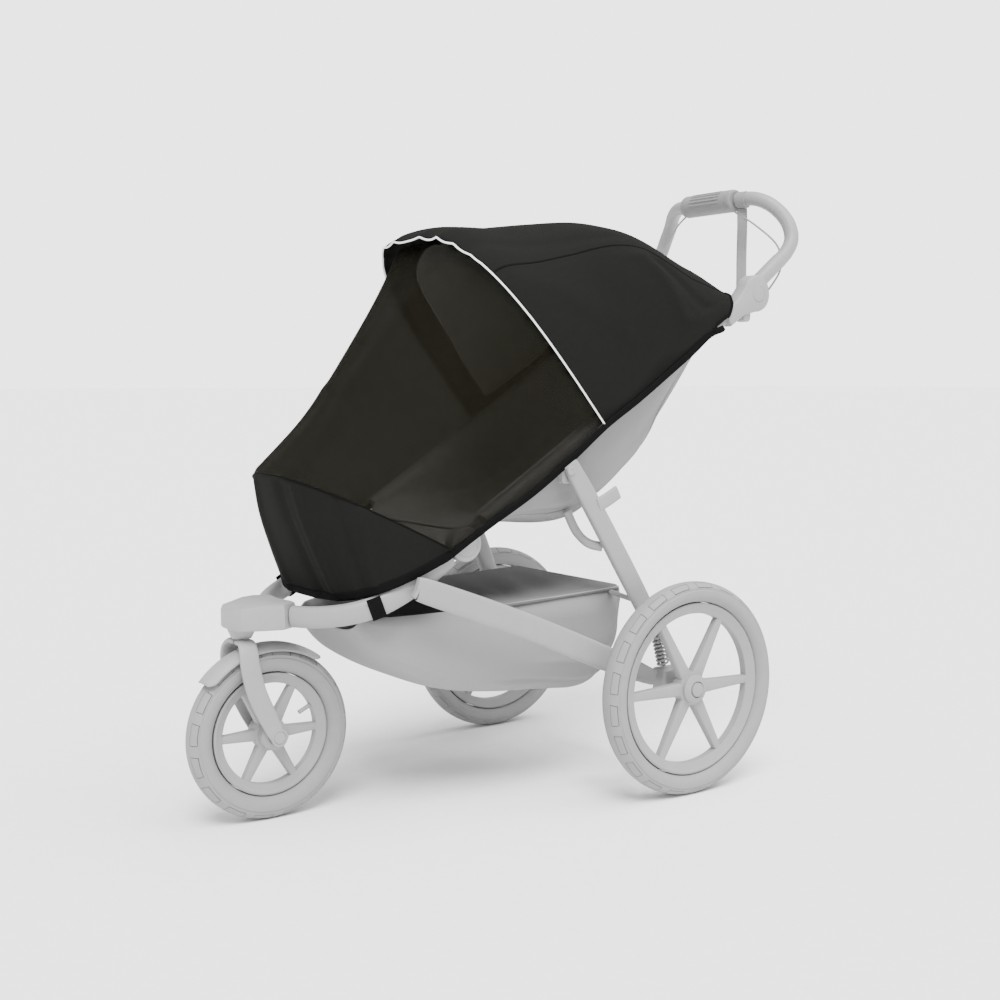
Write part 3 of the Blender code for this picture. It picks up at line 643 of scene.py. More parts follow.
PIPING_R = 0.0017
BINDING_R = 0.0026
piping = rolled_edge("reflective_piping", outward_line(hood, 1.0, -0.01, 0.0022, 160), PIPING_R,
                     PIPING)
dress(piping, "piping", "hood_piping")
rear_line = outward_line(hood, 0.0, 0.01, 0.0012, 160)
rear_edge = rolled_edge("rear_edge_binding", rear_line, BINDING_R, BINDING)
dress(rear_edge, "binding", "rear_binding")

# %% Hem tape
HEM_LINE = (
    (COVER_HALF, 0.3900, 0.8665), (COVER_HALF, 0.3580, 0.8550), (COVER_HALF, 0.3130, 0.8215),
    (COVER_HALF, 0.2450, 0.7760), (COVER_HALF, 0.1750, 0.7300), (COVER_HALF, 0.1010, 0.6850),
    (0.2194, 0.0200, 0.6250), (0.2182, -0.0650, 0.5680), (0.2134, -0.1500, 0.5190),
    (0.2085, -0.2000, 0.4880),
)
HEM_LEAN = Vector((0.0, -0.54, 0.84))
HEM_WIDTH = 0.0130
HEM_OUT = 0.0012
HOOK_LOWER = (COVER_HALF + HEM_OUT, 0.3955, 0.8730)
HOOK_UPPER = (COVER_HALF + HEM_OUT, 0.3880, 0.8800)
HEM_STEPS = 60


def hem_edges():
    """The tape's lower and upper edge, from the left hook to the right hook."""
    lower = [Vector((half + HEM_OUT, y, z)) for half, y, z in HEM_LINE]
    upper = [place + HEM_LEAN * HEM_WIDTH for place in lower]
    lower.insert(0, Vector(HOOK_LOWER))
    upper.insert(0, Vector(HOOK_UPPER))
    count = len(lower)
    for i in range(HEM_STEPS + 1):
        around = 0.002 + 0.996 * i / HEM_STEPS
        edge = foot(around, 1.0)
        below = arch_point(FOOT_EDGE, around) + edge - foot_smooth(around, 1.0)
        out = Vector((edge.x, edge.y + 0.20, 0)).normalized() * HEM_OUT
        lift = (edge - below).normalized() * 0.0025
        lower.append(below + out)
        upper.append(edge + lift + out)
    mirror = Vector((-1, 1, 1))
    lower += [place * mirror for place in reversed(lower[:count])]
    upper += [place * mirror for place in reversed(upper[:count])]
    return lower, upper


hem_lower, hem_upper = hem_edges()


def hem_place(across, along):
    low = Vector(spline(hem_lower, along))
    return low + (Vector(spline(hem_upper, along)) - low) * across


hem = cloth_grid("hem_tape_cloth", hem_place, (4, 420), (0.0125, 2.30), INSIDE_COVER, 0.0022, BINDING)
dress(hem, "binding", "hem_tape")
cut_cloth(hem, 0.0150, 2.80, ["net_cloth", "foot_cloth_panel"])

# %% [markdown]
# A thin ridge lies where net and foot panel are sewn together: the seam
# allowance, folded to the inside and stitched down. It shows as one line.

# %% Seam lines
foot_seam = rolled_edge("foot_seam", [foot(0.004 + 0.992 * i / 160, 0.0)
                                      for i in range(161)], 0.0014, BINDING)
dress(foot_seam, "binding")
for side_name, mirror_share in (("left", False), ("right", True)):
    seam_line = []
    for i in range(91):
        share = seam_at(i / 90)
        seam_line.append(hood(1 - share if mirror_share else share, i / 90))
    dress(rolled_edge("hood_seam_" + side_name, seam_line, 0.0009, BINDING), "binding")

# %% [markdown]
# Two webbing straps hold the foot panel to the stroller's front tubes. Each
# goes down behind the hem, round the oval tube and up again.

# %% Webbing straps
FRONT_TUBE = (
    (0.0560, -0.4668, 0.3655), (0.1000, -0.4430, 0.3675), (0.1400, -0.4060, 0.3745),
    (0.1640, -0.3640, 0.3870), (0.1760, -0.3250, 0.4050), (0.1820, -0.2800, 0.4310),
    (0.1840, -0.2275, 0.4660),
)
FRONT_TUBE_WIDTH = 0.026
FRONT_TUBE_DEPTH = 0.038
STRAP_WIDTH = 0.025
STRAP_LEG = 0.021
STRAP_CLEAR = 0.0020


def strap_ring(share):
    """Where the strap is, across the tube and up, at a share of its length."""
    out = FRONT_TUBE_WIDTH / 2 + STRAP_CLEAR
    down = FRONT_TUBE_DEPTH / 2 + STRAP_CLEAR
    under = pi * (out + down) / 2
    run = share * (under + 2 * STRAP_LEG)
    if run < STRAP_LEG:
        return out, STRAP_LEG - run
    if run > under + STRAP_LEG:
        return -out, run - under - STRAP_LEG
    turn = pi * (run - STRAP_LEG) / under
    return out * copysign(abs(cos(turn)) ** 0.6, cos(turn)), -down * abs(sin(turn)) ** 0.6


for side, side_name in ((1, "left"), (-1, "right")):
    start = Vector(FRONT_TUBE[3])
    run = (Vector(FRONT_TUBE[4]) - Vector(FRONT_TUBE[2])).normalized()
    up = Vector((1, 0, 0)).cross(run).normalized()
    across_tube = run.cross(up).normalized()

    def strap_place(across, along):
        out, rise = strap_ring(along)
        point = start + across_tube * out + up * rise + run * (STRAP_WIDTH * (across - 0.5))
        return Vector((side * point.x, point.y, point.z))

    middle = (side * start.x, start.y, start.z)
    strap = cloth_grid("webbing_strap_" + side_name, strap_place, (8, 60), (0.025, 0.11), middle,
                       0.0014, WEBBING)
    dress(strap, "webbing", "strap_" + side_name)
    cut_cloth(strap, 0.026, 0.13, ["front_bent_tube_" + side_name])

# %% [markdown]
# The stroller's hard pieces are skins over a row of rings. A ball primitive
# already has its rings, its two end points and every face, so each ring is
# moved to its place on the tube or disc, and nothing has to be joined up.

# %% Skins over rings


def skin(name, rings, finish, sharp=40):
    """Wrap a skin over rings of points. The first and last are end centres."""
    sides = len(rings[1])
    bpy.ops.object.select_all(action="DESELECT")
    bpy.ops.mesh.primitive_uv_sphere_add(segments=sides, ring_count=len(rings) - 1, radius=1.0)
    piece = bpy.context.object
    piece.name = name
    for vert in piece.data.vertices:
        polar = atan2(hypot(vert.co.x, vert.co.y), vert.co.z)
        ring = rings[round(polar / pi * (len(rings) - 1))]
        if len(ring) == 1:
            vert.co = ring[0]
        else:
            vert.co = ring[round(atan2(vert.co.y, vert.co.x) / (2 * pi) * sides) % sides]
    bpy.ops.object.mode_set(mode="EDIT")
    bpy.ops.mesh.select_all(action="SELECT")
    bpy.ops.mesh.normals_make_consistent(inside=False)
    bpy.ops.object.mode_set(mode="OBJECT")
    bpy.ops.object.shade_smooth_by_angle(angle=radians(sharp))
    piece.data.materials.append(finish)
    return piece


def oval(width, height, power, sides):
    """Points of a rounded section, across and up."""
    points = []
    for i in range(sides):
        turn = 2 * pi * i / sides
        points.append((copysign(abs(cos(turn)) ** (2 / power), cos(turn)) * width / 2,
                       copysign(abs(sin(turn)) ** (2 / power), sin(turn)) * height / 2))
    return points


def drawn(name, stations, finish, power=2.0, sides=24, steps=8, reference=(1, 0, 0)):
    """A tube or bar drawn through stations of (x, y, z, width, height)."""
    count = (len(stations) - 1) * steps
    rows = [spline(stations, i / count) for i in range(count + 1)]
    places = [Vector(row[:3]) for row in rows]
    rings = []
    for i, row in enumerate(rows):
        run = (places[min(i + 1, count)] - places[max(i - 1, 0)]).normalized()
        up = Vector(reference).cross(run).normalized()
        across = run.cross(up).normalized()
        if i in (0, count):
            rings.append([places[i] + (across * u + up * v) * 0.86
                          for u, v in oval(row[3], row[4], power, sides)])
            lip = min(row[3], row[4]) * 0.06
            shift = run * (lip if i == 0 else -lip)
            rings.insert(len(rings) - (0 if i == 0 else 1),
                         [places[i] + shift + across * u + up * v
                          for u, v in oval(row[3], row[4], power, sides)])
        else:
            rings.append([places[i] + across * u + up * v
                          for u, v in oval(row[3], row[4], power, sides)])
    return skin(name, [[places[0]]] + rings + [[places[-1]]], finish)


def turned(name, centre, profile, finish, sides=48):
    """A round piece on an axle along X. profile is (radius, across) pairs."""
    middle = Vector(centre)
    rings = [[middle + Vector((profile[0][1], 0, 0))]]
    for radius, across in profile:
        rings.append([middle + Vector((across, radius * cos(2 * pi * i / sides),
                                       radius * sin(2 * pi * i / sides))) for i in range(sides)])
    rings.append([middle + Vector((profile[-1][1], 0, 0))])
    return skin(name, rings, finish, sharp=30)


def joined(name, pieces):
    """Join finished pieces into one, which keeps the name given."""
    bpy.ops.object.select_all(action="DESELECT")
    for piece in pieces:
        piece.select_set(True)
    bpy.context.view_layer.objects.active = pieces[0]
    bpy.ops.object.join()
    pieces[0].name = name
    return pieces[0]


# %% [markdown]
# The tyres are a ring with a flattened round section. On the real tyre the
# tread is a row of blocks with a fine groove round each. Here the blocks' faces
# are picked by their place in the ring, inset once downwards and once upwards,
# so the groove has its two walls and the block keeps its height.

# %% Wheels: sizes
Wheel = namedtuple("Wheel", "side centre radius seat opening hub hub_half blocks root tip")
REAR_AXLE_Y = 0.218
FRONT_AXLE_Y = -0.490
TRACK_HALF = 0.3205
WHEELS = (
    Wheel("rear_left", (TRACK_HALF, REAR_AXLE_Y, 0.200), 0.200, 0.1615, 0.141, 0.027, 0.026, 21,
          0.0260, 0.0155),
    Wheel("rear_right", (-TRACK_HALF, REAR_AXLE_Y, 0.200), 0.200, 0.1615, 0.141, 0.027, 0.026, 21,
          0.0260, 0.0155),
    Wheel("front", (0.0, FRONT_AXLE_Y, 0.152), 0.152, 0.1095, 0.0905, 0.026, 0.0365, 16,
          0.0215, 0.0140),
)
TYRE_HALF = 0.0235
TYRE_ROUND = 40
BLOCK_STEP = 12
BLOCK_FACES = 8
GROOVE_WIDTH = 0.0016
GROOVE_DEPTH = 0.0024
SHOULDER_LINE = 8
SHOULDER_DEPTH = 0.0013


def tyre(wheel):
    """The ring, its tread blocks outlined by a groove."""
    around = wheel.blocks * BLOCK_STEP
    middle = (wheel.radius + wheel.seat) / 2
    half = (wheel.radius - wheel.seat) / 2
    bpy.ops.object.select_all(action="DESELECT")
    bpy.ops.mesh.primitive_torus_add(major_segments=around, minor_segments=TYRE_ROUND,
                                     major_radius=1.0, minor_radius=0.25)
    piece = bpy.context.object
    mesh = piece.data
    marks = {}
    for vert in mesh.vertices:
        turn = atan2(vert.co.y, vert.co.x)
        section = atan2(vert.co.z, hypot(vert.co.x, vert.co.y) - 1.0)
        step = round(turn / (2 * pi) * around) % around
        row = round(section / (2 * pi) * TYRE_ROUND) % TYRE_ROUND
        marks[vert.index] = (step, row)
        lean = section if abs(section) < pi / 2 else 0.0
        turn += 0.014 * sin(2 * pi * step / BLOCK_STEP) * (abs(lean) - 0.8)
        out = copysign(abs(cos(section)) ** (2 / 2.3), cos(section)) * half
        across = copysign(abs(sin(section)) ** (2 / 2.3), sin(section)) * TYRE_HALF
        if row in (SHOULDER_LINE, TYRE_ROUND - SHOULDER_LINE):
            out -= SHOULDER_DEPTH
            across -= copysign(SHOULDER_DEPTH, across)
        reach = middle + out
        vert.co = (across, reach * sin(turn), reach * cos(turn))
    mesh.update()
    bpy.ops.object.mode_set(mode="EDIT")
    bpy.ops.mesh.select_mode(type="FACE")
    bpy.ops.mesh.select_all(action="SELECT")
    bpy.ops.mesh.normals_make_consistent(inside=False)
    bpy.ops.mesh.select_all(action="DESELECT")
    bpy.ops.object.mode_set(mode="OBJECT")
    for face in mesh.polygons:
        steps = [marks[i][0] for i in face.vertices]
        rows = [marks[i][1] for i in face.vertices]
        if max(steps) - min(steps) > 1 or max(rows) - min(rows) > 1:
            continue
        low = min(rows)
        on_left = 2 <= low <= 6
        on_right = TYRE_ROUND - 7 <= low <= TYRE_ROUND - 3
        shift = 0 if on_left else BLOCK_STEP // 2
        if (on_left or on_right) and (min(steps) + shift) % BLOCK_STEP < BLOCK_FACES:
            face.select = True
    bpy.ops.object.mode_set(mode="EDIT")
    bpy.ops.mesh.inset(thickness=GROOVE_WIDTH / 2, depth=-GROOVE_DEPTH)
    bpy.ops.mesh.inset(thickness=GROOVE_WIDTH / 2, depth=GROOVE_DEPTH)
    bpy.ops.object.mode_set(mode="OBJECT")
    piece.location = wheel.centre
    bpy.ops.object.transform_apply(location=True, rotation=True, scale=True)
    bpy.ops.object.shade_smooth_by_angle(angle=radians(28))
    mesh.materials.append(TYRE)
    piece.name = "tyre_with_blocks_" + wheel.side
    return piece


# %% Rims and hubs
RIM_HALF = 0.0135


def rim_ring(wheel):
    """The rim's ring: a seat for the tyre, two beads and a thin inner wall."""
    outer, inner = wheel.seat - 0.0006, wheel.opening
    profile = (
        (outer, RIM_HALF - 0.0030), (outer, RIM_HALF), (outer - 0.0030, RIM_HALF + 0.0012),
        (outer - 0.0060, RIM_HALF), (outer - 0.0080, RIM_HALF - 0.0018),
        (inner + 0.0040, RIM_HALF - 0.0030), (inner, RIM_HALF - 0.0060),
    )
    profile = profile + tuple((radius, -across) for radius, across in reversed(profile))
    around = 120
    bpy.ops.object.select_all(action="DESELECT")
    bpy.ops.mesh.primitive_torus_add(major_segments=around, minor_segments=len(profile),
                                     major_radius=1.0, minor_radius=0.25)
    piece = bpy.context.object
    for vert in piece.data.vertices:
        turn = atan2(vert.co.y, vert.co.x)
        section = atan2(vert.co.z, hypot(vert.co.x, vert.co.y) - 1.0)
        radius, across = profile[round(section / (2 * pi) * len(profile)) % len(profile)]
        vert.co = (across, radius * cos(turn), radius * sin(turn))
    bpy.ops.object.mode_set(mode="EDIT")
    bpy.ops.mesh.select_all(action="SELECT")
    bpy.ops.mesh.normals_make_consistent(inside=False)
    bpy.ops.object.mode_set(mode="OBJECT")
    piece.location = wheel.centre
    bpy.ops.object.transform_apply(location=True, rotation=True, scale=True)
    bpy.ops.object.shade_smooth_by_angle(angle=radians(35))
    piece.data.materials.append(RIM)
    return piece


def spoke(wheel, turn):
    """One spoke, wide and thick at the hub, narrow and thin at the rim."""
    x, y, z = wheel.centre
    stations = []
    for share in (0.0, 0.35, 0.7, 1.0):
        reach = wheel.hub - 0.002 + (wheel.opening - wheel.hub + 0.005) * share
        width = wheel.root + (wheel.tip - wheel.root) * share ** 0.8
        stations.append((x, y + reach * cos(turn), z + reach * sin(turn),
                         0.0210 - 0.0060 * share, width))
    return drawn("spoke", stations, RIM, power=5.0, sides=24, steps=3)


for wheel in WHEELS:
    dress(tyre(wheel), "tyre", "tyre_" + wheel.side)
    spokes = [spoke(wheel, pi / 3 * i) for i in range(6)]
    boss = turned("boss", wheel.centre, (
        (wheel.hub * 0.9, -0.0125), (wheel.hub + 0.004, -0.0100), (wheel.hub + 0.005, 0.0),
        (wheel.hub + 0.004, 0.0100), (wheel.hub * 0.9, 0.0125),
    ), RIM)
    rim = joined("spoked_rim_" + wheel.side, [rim_ring(wheel), boss] + spokes)
    dress(rim, "rim", "rim_" + wheel.side)
    half = wheel.hub_half
    cap = wheel.hub
    hub = turned("hub_with_cap_" + wheel.side, wheel.centre, (
        (cap * 0.38, -half), (cap * 0.48, -half + 0.001), (cap * 0.50, -half + 0.006),
        (cap * 0.56, -half + 0.006), (cap * 0.58, -half + 0.003), (cap * 0.88, -half + 0.005),
        (cap * 1.0, -half + 0.008), (cap * 1.0, half - 0.008), (cap * 0.88, half - 0.005),
        (cap * 0.58, half - 0.003), (cap * 0.56, half - 0.006), (cap * 0.50, half - 0.006),
        (cap * 0.48, half - 0.001), (cap * 0.38, half),
    ), RIM)
    dress(hub, "rim", "hub_" + wheel.side)
print("wheels", [wheel.side for wheel in WHEELS])

# %% [markdown]
# The frame is aluminium tube, drawn oval for the front and the chassis bars,
# where it has to be stiff in height, and round where hands hold it.

# %% Frame tubes and bars
HANDLE = (
    (0.1985, 0.4950, 0.9600), (0.2030, 0.5472, 1.0039), (0.2031, 0.5796, 1.0303),
    (0.1988, 0.6002, 1.0587), (0.1873, 0.6048, 1.0887), (0.1678, 0.6007, 1.1153),
    (0.1440, 0.5878, 1.1370), (0.1129, 0.5754, 1.1488), (0.0753, 0.5659, 1.1479),
)
HANDLE_THICK = 0.0292
SLEEVE_THICK = 0.0308
CHASSIS_BAR = (
    (0.2100, -0.3060, 0.4180, 0.014, 0.034), (0.2125, -0.2860, 0.4110, 0.018, 0.044),
    (0.2340, -0.1040, 0.3395, 0.018, 0.046), (0.2600, 0.0750, 0.2590, 0.018, 0.045),
    (0.2660, 0.1760, 0.2150, 0.017, 0.030),
)
REAR_LEG = (
    (0.2200, 0.0120, 0.6220, 0.014, 0.030), (0.2230, 0.0440, 0.5700, 0.016, 0.037),
    (0.2320, 0.0960, 0.4800, 0.018, 0.038), (0.2500, 0.1560, 0.3650, 0.018, 0.037),
    (0.2640, 0.1835, 0.2995, 0.017, 0.030),
)
FORK_BLADE = (
    (0.0040, -0.5385, 0.3205, 0.030, 0.011), (0.0240, -0.5400, 0.3200, 0.032, 0.011),
    (0.0385, -0.5425, 0.3060, 0.034, 0.0105), (0.0420, -0.5410, 0.2800, 0.036, 0.010),
    (0.0420, -0.5300, 0.2350, 0.036, 0.0095), (0.0420, -0.5080, 0.1860, 0.034, 0.009),
    (0.0420, -0.4880, 0.1460, 0.028, 0.009),
)
PIVOT_Y = -0.198
PIVOT_Z = 0.486


def on_side(side, stations):
    """The same stations on the left (side 1) or the right (side -1)."""
    return [(side * row[0], *row[1:]) for row in stations]


def side_tube_z(y):
    return PIVOT_Z + 0.018 + 0.635 * (y - PIVOT_Y)


for side, side_name in ((1, "left"), (-1, "right")):
    front = [(*place, FRONT_TUBE_WIDTH, FRONT_TUBE_DEPTH) for place in FRONT_TUBE]
    dress(drawn("front_bent_tube_" + side_name, on_side(side, front), FRAME_TUBE, 2.6),
          "frame_tube", "front_tube_" + side_name)
    arm = [(*place, HANDLE_THICK, HANDLE_THICK) for place in HANDLE]
    dress(drawn("handle_bent_arm_" + side_name, on_side(side, arm), FRAME_TUBE, reference=(0.3, -1, 0.9)),
          "frame_tube", "handle_arm_" + side_name)
    dress(drawn("chassis_oval_bar_" + side_name, on_side(side, CHASSIS_BAR), FRAME_TUBE, 4.0),
          "frame_tube", "chassis_bar_" + side_name)
    dress(drawn("rear_leg_bar_" + side_name, on_side(side, REAR_LEG), FRAME_TUBE, 4.0),
          "frame_tube", "rear_leg_" + side_name)
    long_tube = [(0.1945, y, side_tube_z(y), 0.025, 0.025) for y in (-0.163, 0.13, 0.424)]
    dress(drawn("side_long_tube_" + side_name, on_side(side, long_tube), FRAME_TUBE),
          "frame_tube", "side_tube_" + side_name)
    blade = drawn("fork_blade_" + side_name, on_side(side, FORK_BLADE), PLASTIC, 3.0, steps=6,
                  reference=(0, 1, 0))
    dress(blade, "plastic", "fork_leg_" + side_name)
    sleeve = [(*place, SLEEVE_THICK, SLEEVE_THICK) for place in HANDLE[:3]]
    sleeve[-1] = (0.2033, 0.5620, 1.0155, SLEEVE_THICK, SLEEVE_THICK)
    dress(drawn("handle_sleeve_" + side_name, on_side(side, sleeve), FRAME_TUBE,
                reference=(0.3, -1, 0.9)), "frame_tube")

# %% [markdown]
# The handle tilts in two round joints. Each is a moulded housing, round over
# the joint and drawn out to a neck that grips the side tube, with a raised
# button on its outer face.

# %% Handle joints
JOINT = (0.1985, 0.4905, 0.9435)
JOINT_R = 0.0345
NECK = 0.094
NECK_HALF = 0.0175
JOINT_HALF = 0.0165


def joint_outline(shrink):
    """The housing's side view as offsets in y and z, drawn in by shrink."""
    tilt = atan2(0.635, 1.0)
    points = []
    for i in range(29):
        turn = tilt - 0.70 * pi + 1.40 * pi * i / 28
        lift = 0.004 * max(0.0, cos(turn - tilt - 0.9)) ** 2
        points.append(((JOINT_R + lift - shrink) * cos(turn), (JOINT_R + lift - shrink) * sin(turn)))
    for i in range(4):
        along = NECK * (0.55 + 0.45 * i / 3)
        points.append((-cos(tilt) * along - sin(tilt) * (NECK_HALF - shrink),
                       -sin(tilt) * along + cos(tilt) * (NECK_HALF - shrink)))
    for i in range(4):
        along = NECK * (1.0 - 0.45 * i / 3)
        points.append((-cos(tilt) * along + sin(tilt) * (NECK_HALF - shrink),
                       -sin(tilt) * along - cos(tilt) * (NECK_HALF - shrink)))
    return points


for side, side_name in ((1, "left"), (-1, "right")):
    middle = Vector((side * JOINT[0], JOINT[1], JOINT[2]))
    rings = [[middle + Vector((-JOINT_HALF, 0, 0))]]
    for across, shrink in ((-JOINT_HALF, 0.0040), (-JOINT_HALF + 0.0018, 0.0010),
                           (-JOINT_HALF + 0.0045, 0.0), (JOINT_HALF - 0.0045, 0.0),
                           (JOINT_HALF - 0.0018, 0.0010), (JOINT_HALF, 0.0040)):
        rings.append([middle + Vector((across, y, z)) for y, z in joint_outline(shrink)])
    rings.append([middle + Vector((JOINT_HALF, 0, 0))])
    housing = skin("joint_housing", rings, PLASTIC)
    button = turned("button", middle + Vector((side * JOINT_HALF, 0.002, 0.001)), (
        (0.0155, -0.0020), (0.0175, -0.0015), (0.0180, 0.0), (0.0165, 0.0006), (0.0160, 0.0),
        (0.0150, 0.0012), (0.0120, 0.0018)), PLASTIC)
    if side < 0:
        for vert in button.data.vertices:
            vert.co.x = 2 * (middle.x - JOINT_HALF) - vert.co.x
        button.data.flip_normals()
    y, z = middle.y - 0.0225, middle.z - 0.0400
    lever = drawn("lever", [(middle.x - side * 0.012, y, z, 0.030, 0.020),
                            (middle.x, y, z, 0.030, 0.021),
                            (middle.x + side * 0.010, y, z, 0.029, 0.019)], PLASTIC, 3.0,
                  reference=(0, 0, 1))
    dress(joined("tilt_joint_" + side_name, [housing, button, lever]), "plastic",
          "handle_joint_" + side_name)

# %% Pivots with a ring on their face
for side, side_name in ((1, "left"), (-1, "right")):
    pivot = turned("fold_pivot_" + side_name, (side * 0.1845, PIVOT_Y, PIVOT_Z), (
        (0.0210, -0.0135), (0.0225, -0.0125), (0.0235, -0.0135), (0.0290, -0.0130),
        (0.0310, -0.0110), (0.0310, 0.0110), (0.0290, 0.0130), (0.0235, 0.0135),
        (0.0225, 0.0125), (0.0210, 0.0135)), PLASTIC)
    dress(pivot, "plastic", "pivot_" + side_name)

# %% [markdown]
# The grip is a rubber sleeve with five ribs where the palm lies.

# %% Ribbed grip
GRIP_CENTRE = (0.0, 0.5644, 1.1480)
GRIP_HALF = 0.0745
GRIP_R = 0.0235
RIB_HALF = 0.044
sleeve = turned("sleeve", GRIP_CENTRE, (
    (GRIP_R - 0.004, -GRIP_HALF), (GRIP_R - 0.001, -GRIP_HALF + 0.002), (GRIP_R, -GRIP_HALF + 0.006),
    (GRIP_R, -GRIP_HALF + 0.0125), (GRIP_R - 0.001, -GRIP_HALF + 0.0130),
    (GRIP_R, -GRIP_HALF + 0.0135), (GRIP_R, GRIP_HALF - 0.0135),
    (GRIP_R - 0.001, GRIP_HALF - 0.0130), (GRIP_R, GRIP_HALF - 0.0125),
    (GRIP_R, GRIP_HALF - 0.006), (GRIP_R - 0.001, GRIP_HALF - 0.002),
    (GRIP_R - 0.004, GRIP_HALF)), GRIP)
ribs = []
for i in range(5):
    turn = radians(118 + 17 * i)
    y = GRIP_CENTRE[1] + (GRIP_R - 0.0004) * cos(turn)
    z = GRIP_CENTRE[2] + (GRIP_R - 0.0004) * sin(turn)
    ribs.append(drawn("rib", [(-RIB_HALF, y, z, 0.0042, 0.0042), (0, y, z, 0.0042, 0.0042),
                              (RIB_HALF, y, z, 0.0042, 0.0042)], GRIP, sides=10, steps=2,
                      reference=(0, 1, 0)))
dress(joined("ribbed_grip", [sleeve] + ribs), "grip", "handle_grip")

# %% [markdown]
# The head block joins the two front tubes over the front wheel. It is one
# moulding: a flat nose, two sleeves, and a collar under it for the fork.

# %% Head block, stem and mudguard
HEAD_OUTLINE = (
    (0.0, -0.5660), (0.0160, -0.5655), (0.0300, -0.5630), (0.0400, -0.5560), (0.0470, -0.5400),
    (0.0560, -0.5150), (0.0640, -0.4862), (0.0560, -0.4715), (0.0480, -0.4570),
    (0.0240, -0.4590), (0.0, -0.4610),
)
HEAD_LOW, HEAD_HIGH = 0.3440, 0.3905
head_loop = list(HEAD_OUTLINE) + [(-x, y) for x, y in reversed(HEAD_OUTLINE[1:-1])]
head_middle = Vector((0.0, -0.508, 0.0))
head_rings = [[head_middle + Vector((0, 0, HEAD_LOW))]]
for z, shrink in ((0.3440, 0.0045), (0.3452, 0.0012), (0.3480, 0.0), (0.3800, 0.0),
                  (0.3880, 0.0022), (0.3905, 0.0080)):
    row = []
    for x, y in head_loop:
        place = Vector((x, y, 0.0))
        place += (head_middle - place).normalized() * shrink
        nose = max(0.0, (-0.515 - y) / 0.051)
        height = z - 0.007 * nose * max(0.0, (z - 0.352) / 0.0385)
        row.append(Vector((place.x, place.y, height)))
    head_rings.append(row)
head_rings.append([head_middle + Vector((0, 0, HEAD_HIGH))])
dress(skin("head_moulding", head_rings, PLASTIC, sharp=25), "plastic", "head_block")

stem_rings = [[Vector((0, -0.538, 0.3265))]]
for radius, z in ((0.0170, 0.3270), (0.0185, 0.3290), (0.0235, 0.3400), (0.0250, 0.3445)):
    stem_rings.append([Vector((radius * cos(2 * pi * i / 32), -0.538 + radius * sin(2 * pi * i / 32), z))
                       for i in range(32)])
stem_rings.append([Vector((0, -0.538, 0.3445))])
dress(skin("fork_collar", stem_rings, PLASTIC), "plastic", "head_stem", "fork_crown")


def guard_place(across, along):
    """The mudguard follows the tyre and turns its two edges down."""
    turn = radians(53 + 87 * along)
    side = 2 * across - 1
    end = min(1.0, along / 0.06, (1 - along) / 0.05)
    side *= 0.72 + 0.28 * max(end, 0.0) ** 0.5
    radius = 0.1628 - 0.0125 * abs(side) ** 3
    return Vector((0.0275 * side, FRONT_AXLE_Y + radius * cos(turn), 0.152 + radius * sin(turn)))


guard = cloth_grid("mudguard_shell", guard_place, (24, 70), (0.06, 0.25), (0, FRONT_AXLE_Y, 0.152),
                   0.0024, PLASTIC)
dress(guard, "plastic", "mudguard")
print("head block, collar and mudguard in place")

# %% [markdown]
# The rear springs are a coil of round wire over a rod.

# %% Springs
SPRING_TOP = Vector((0.2650, 0.1874, 0.2962))
SPRING_FOOT = Vector((0.2650, 0.2040, 0.2340))
COILS = 7.5
for side, side_name in ((1, "left"), (-1, "right")):
    run = (SPRING_FOOT - SPRING_TOP).normalized()
    outwards = Vector((1, 0, 0))
    aside = run.cross(outwards).normalized()
    coil = []
    for i in range(181):
        share = i / 180
        turn = 2 * pi * COILS * share
        place = SPRING_TOP + (SPRING_FOOT - SPRING_TOP) * (0.06 + 0.88 * share)
        place += (outwards * cos(turn) + aside * sin(turn)) * 0.0105
        coil.append(Vector((side * place.x, place.y, place.z)))
    wire = rolled_edge("wire", coil, 0.0022, RIM)
    rod = drawn("rod", on_side(side, [(*SPRING_TOP, 0.009, 0.009), (*((SPRING_TOP + SPRING_FOOT) / 2), 0.009, 0.009),
                                      (*SPRING_FOOT, 0.009, 0.009)]), RIM, steps=3)
    dress(joined("coil_spring_" + side_name, [wire, rod]), "frame_tube", "spring_" + side_name)

# %% [markdown]
# The stroller's own cloth is plain and grey: the seat hangs from the side
# tubes, the canopy lies under the hood with a soft, uneven front edge, and the
# basket hangs under the seat. The sheets are laid over ribs, like the cover.

# %% Stroller cloth
SEAT_RIBS = (
    Rib(-0.1650, 0.5350, -0.1850, 0.5000, 0.178, 5.0, 1.0),
    Rib(-0.0600, 0.6000, -0.0795, 0.5082, 0.178, 4.5, 1.0),
    Rib(0.0600, 0.6760, 0.0958, 0.5074, 0.178, 4.0, 1.0),
    Rib(0.1500, 0.7340, 0.2293, 0.6181, 0.178, 4.0, 1.0),
    Rib(0.2400, 0.7900, 0.2769, 0.6927, 0.178, 4.5, 1.0),
    Rib(0.3350, 0.8500, 0.3950, 0.8580, 0.178, 5.0, 1.0),
)
CANOPY_RIBS = (
    Rib(0.3180, 0.8720, 0.4300, 0.9600, 0.2060, 2.6, 0.8),
    Rib(0.2430, 0.8120, 0.1880, 1.0560, 0.2080, 4.0, 1.0),
    Rib(0.1760, 0.7700, 0.0350, 1.0520, 0.2080, 2.8, 1.0),
    Rib(0.1180, 0.7380, -0.1200, 1.0260, 0.2060, 3.1, 1.0),
)
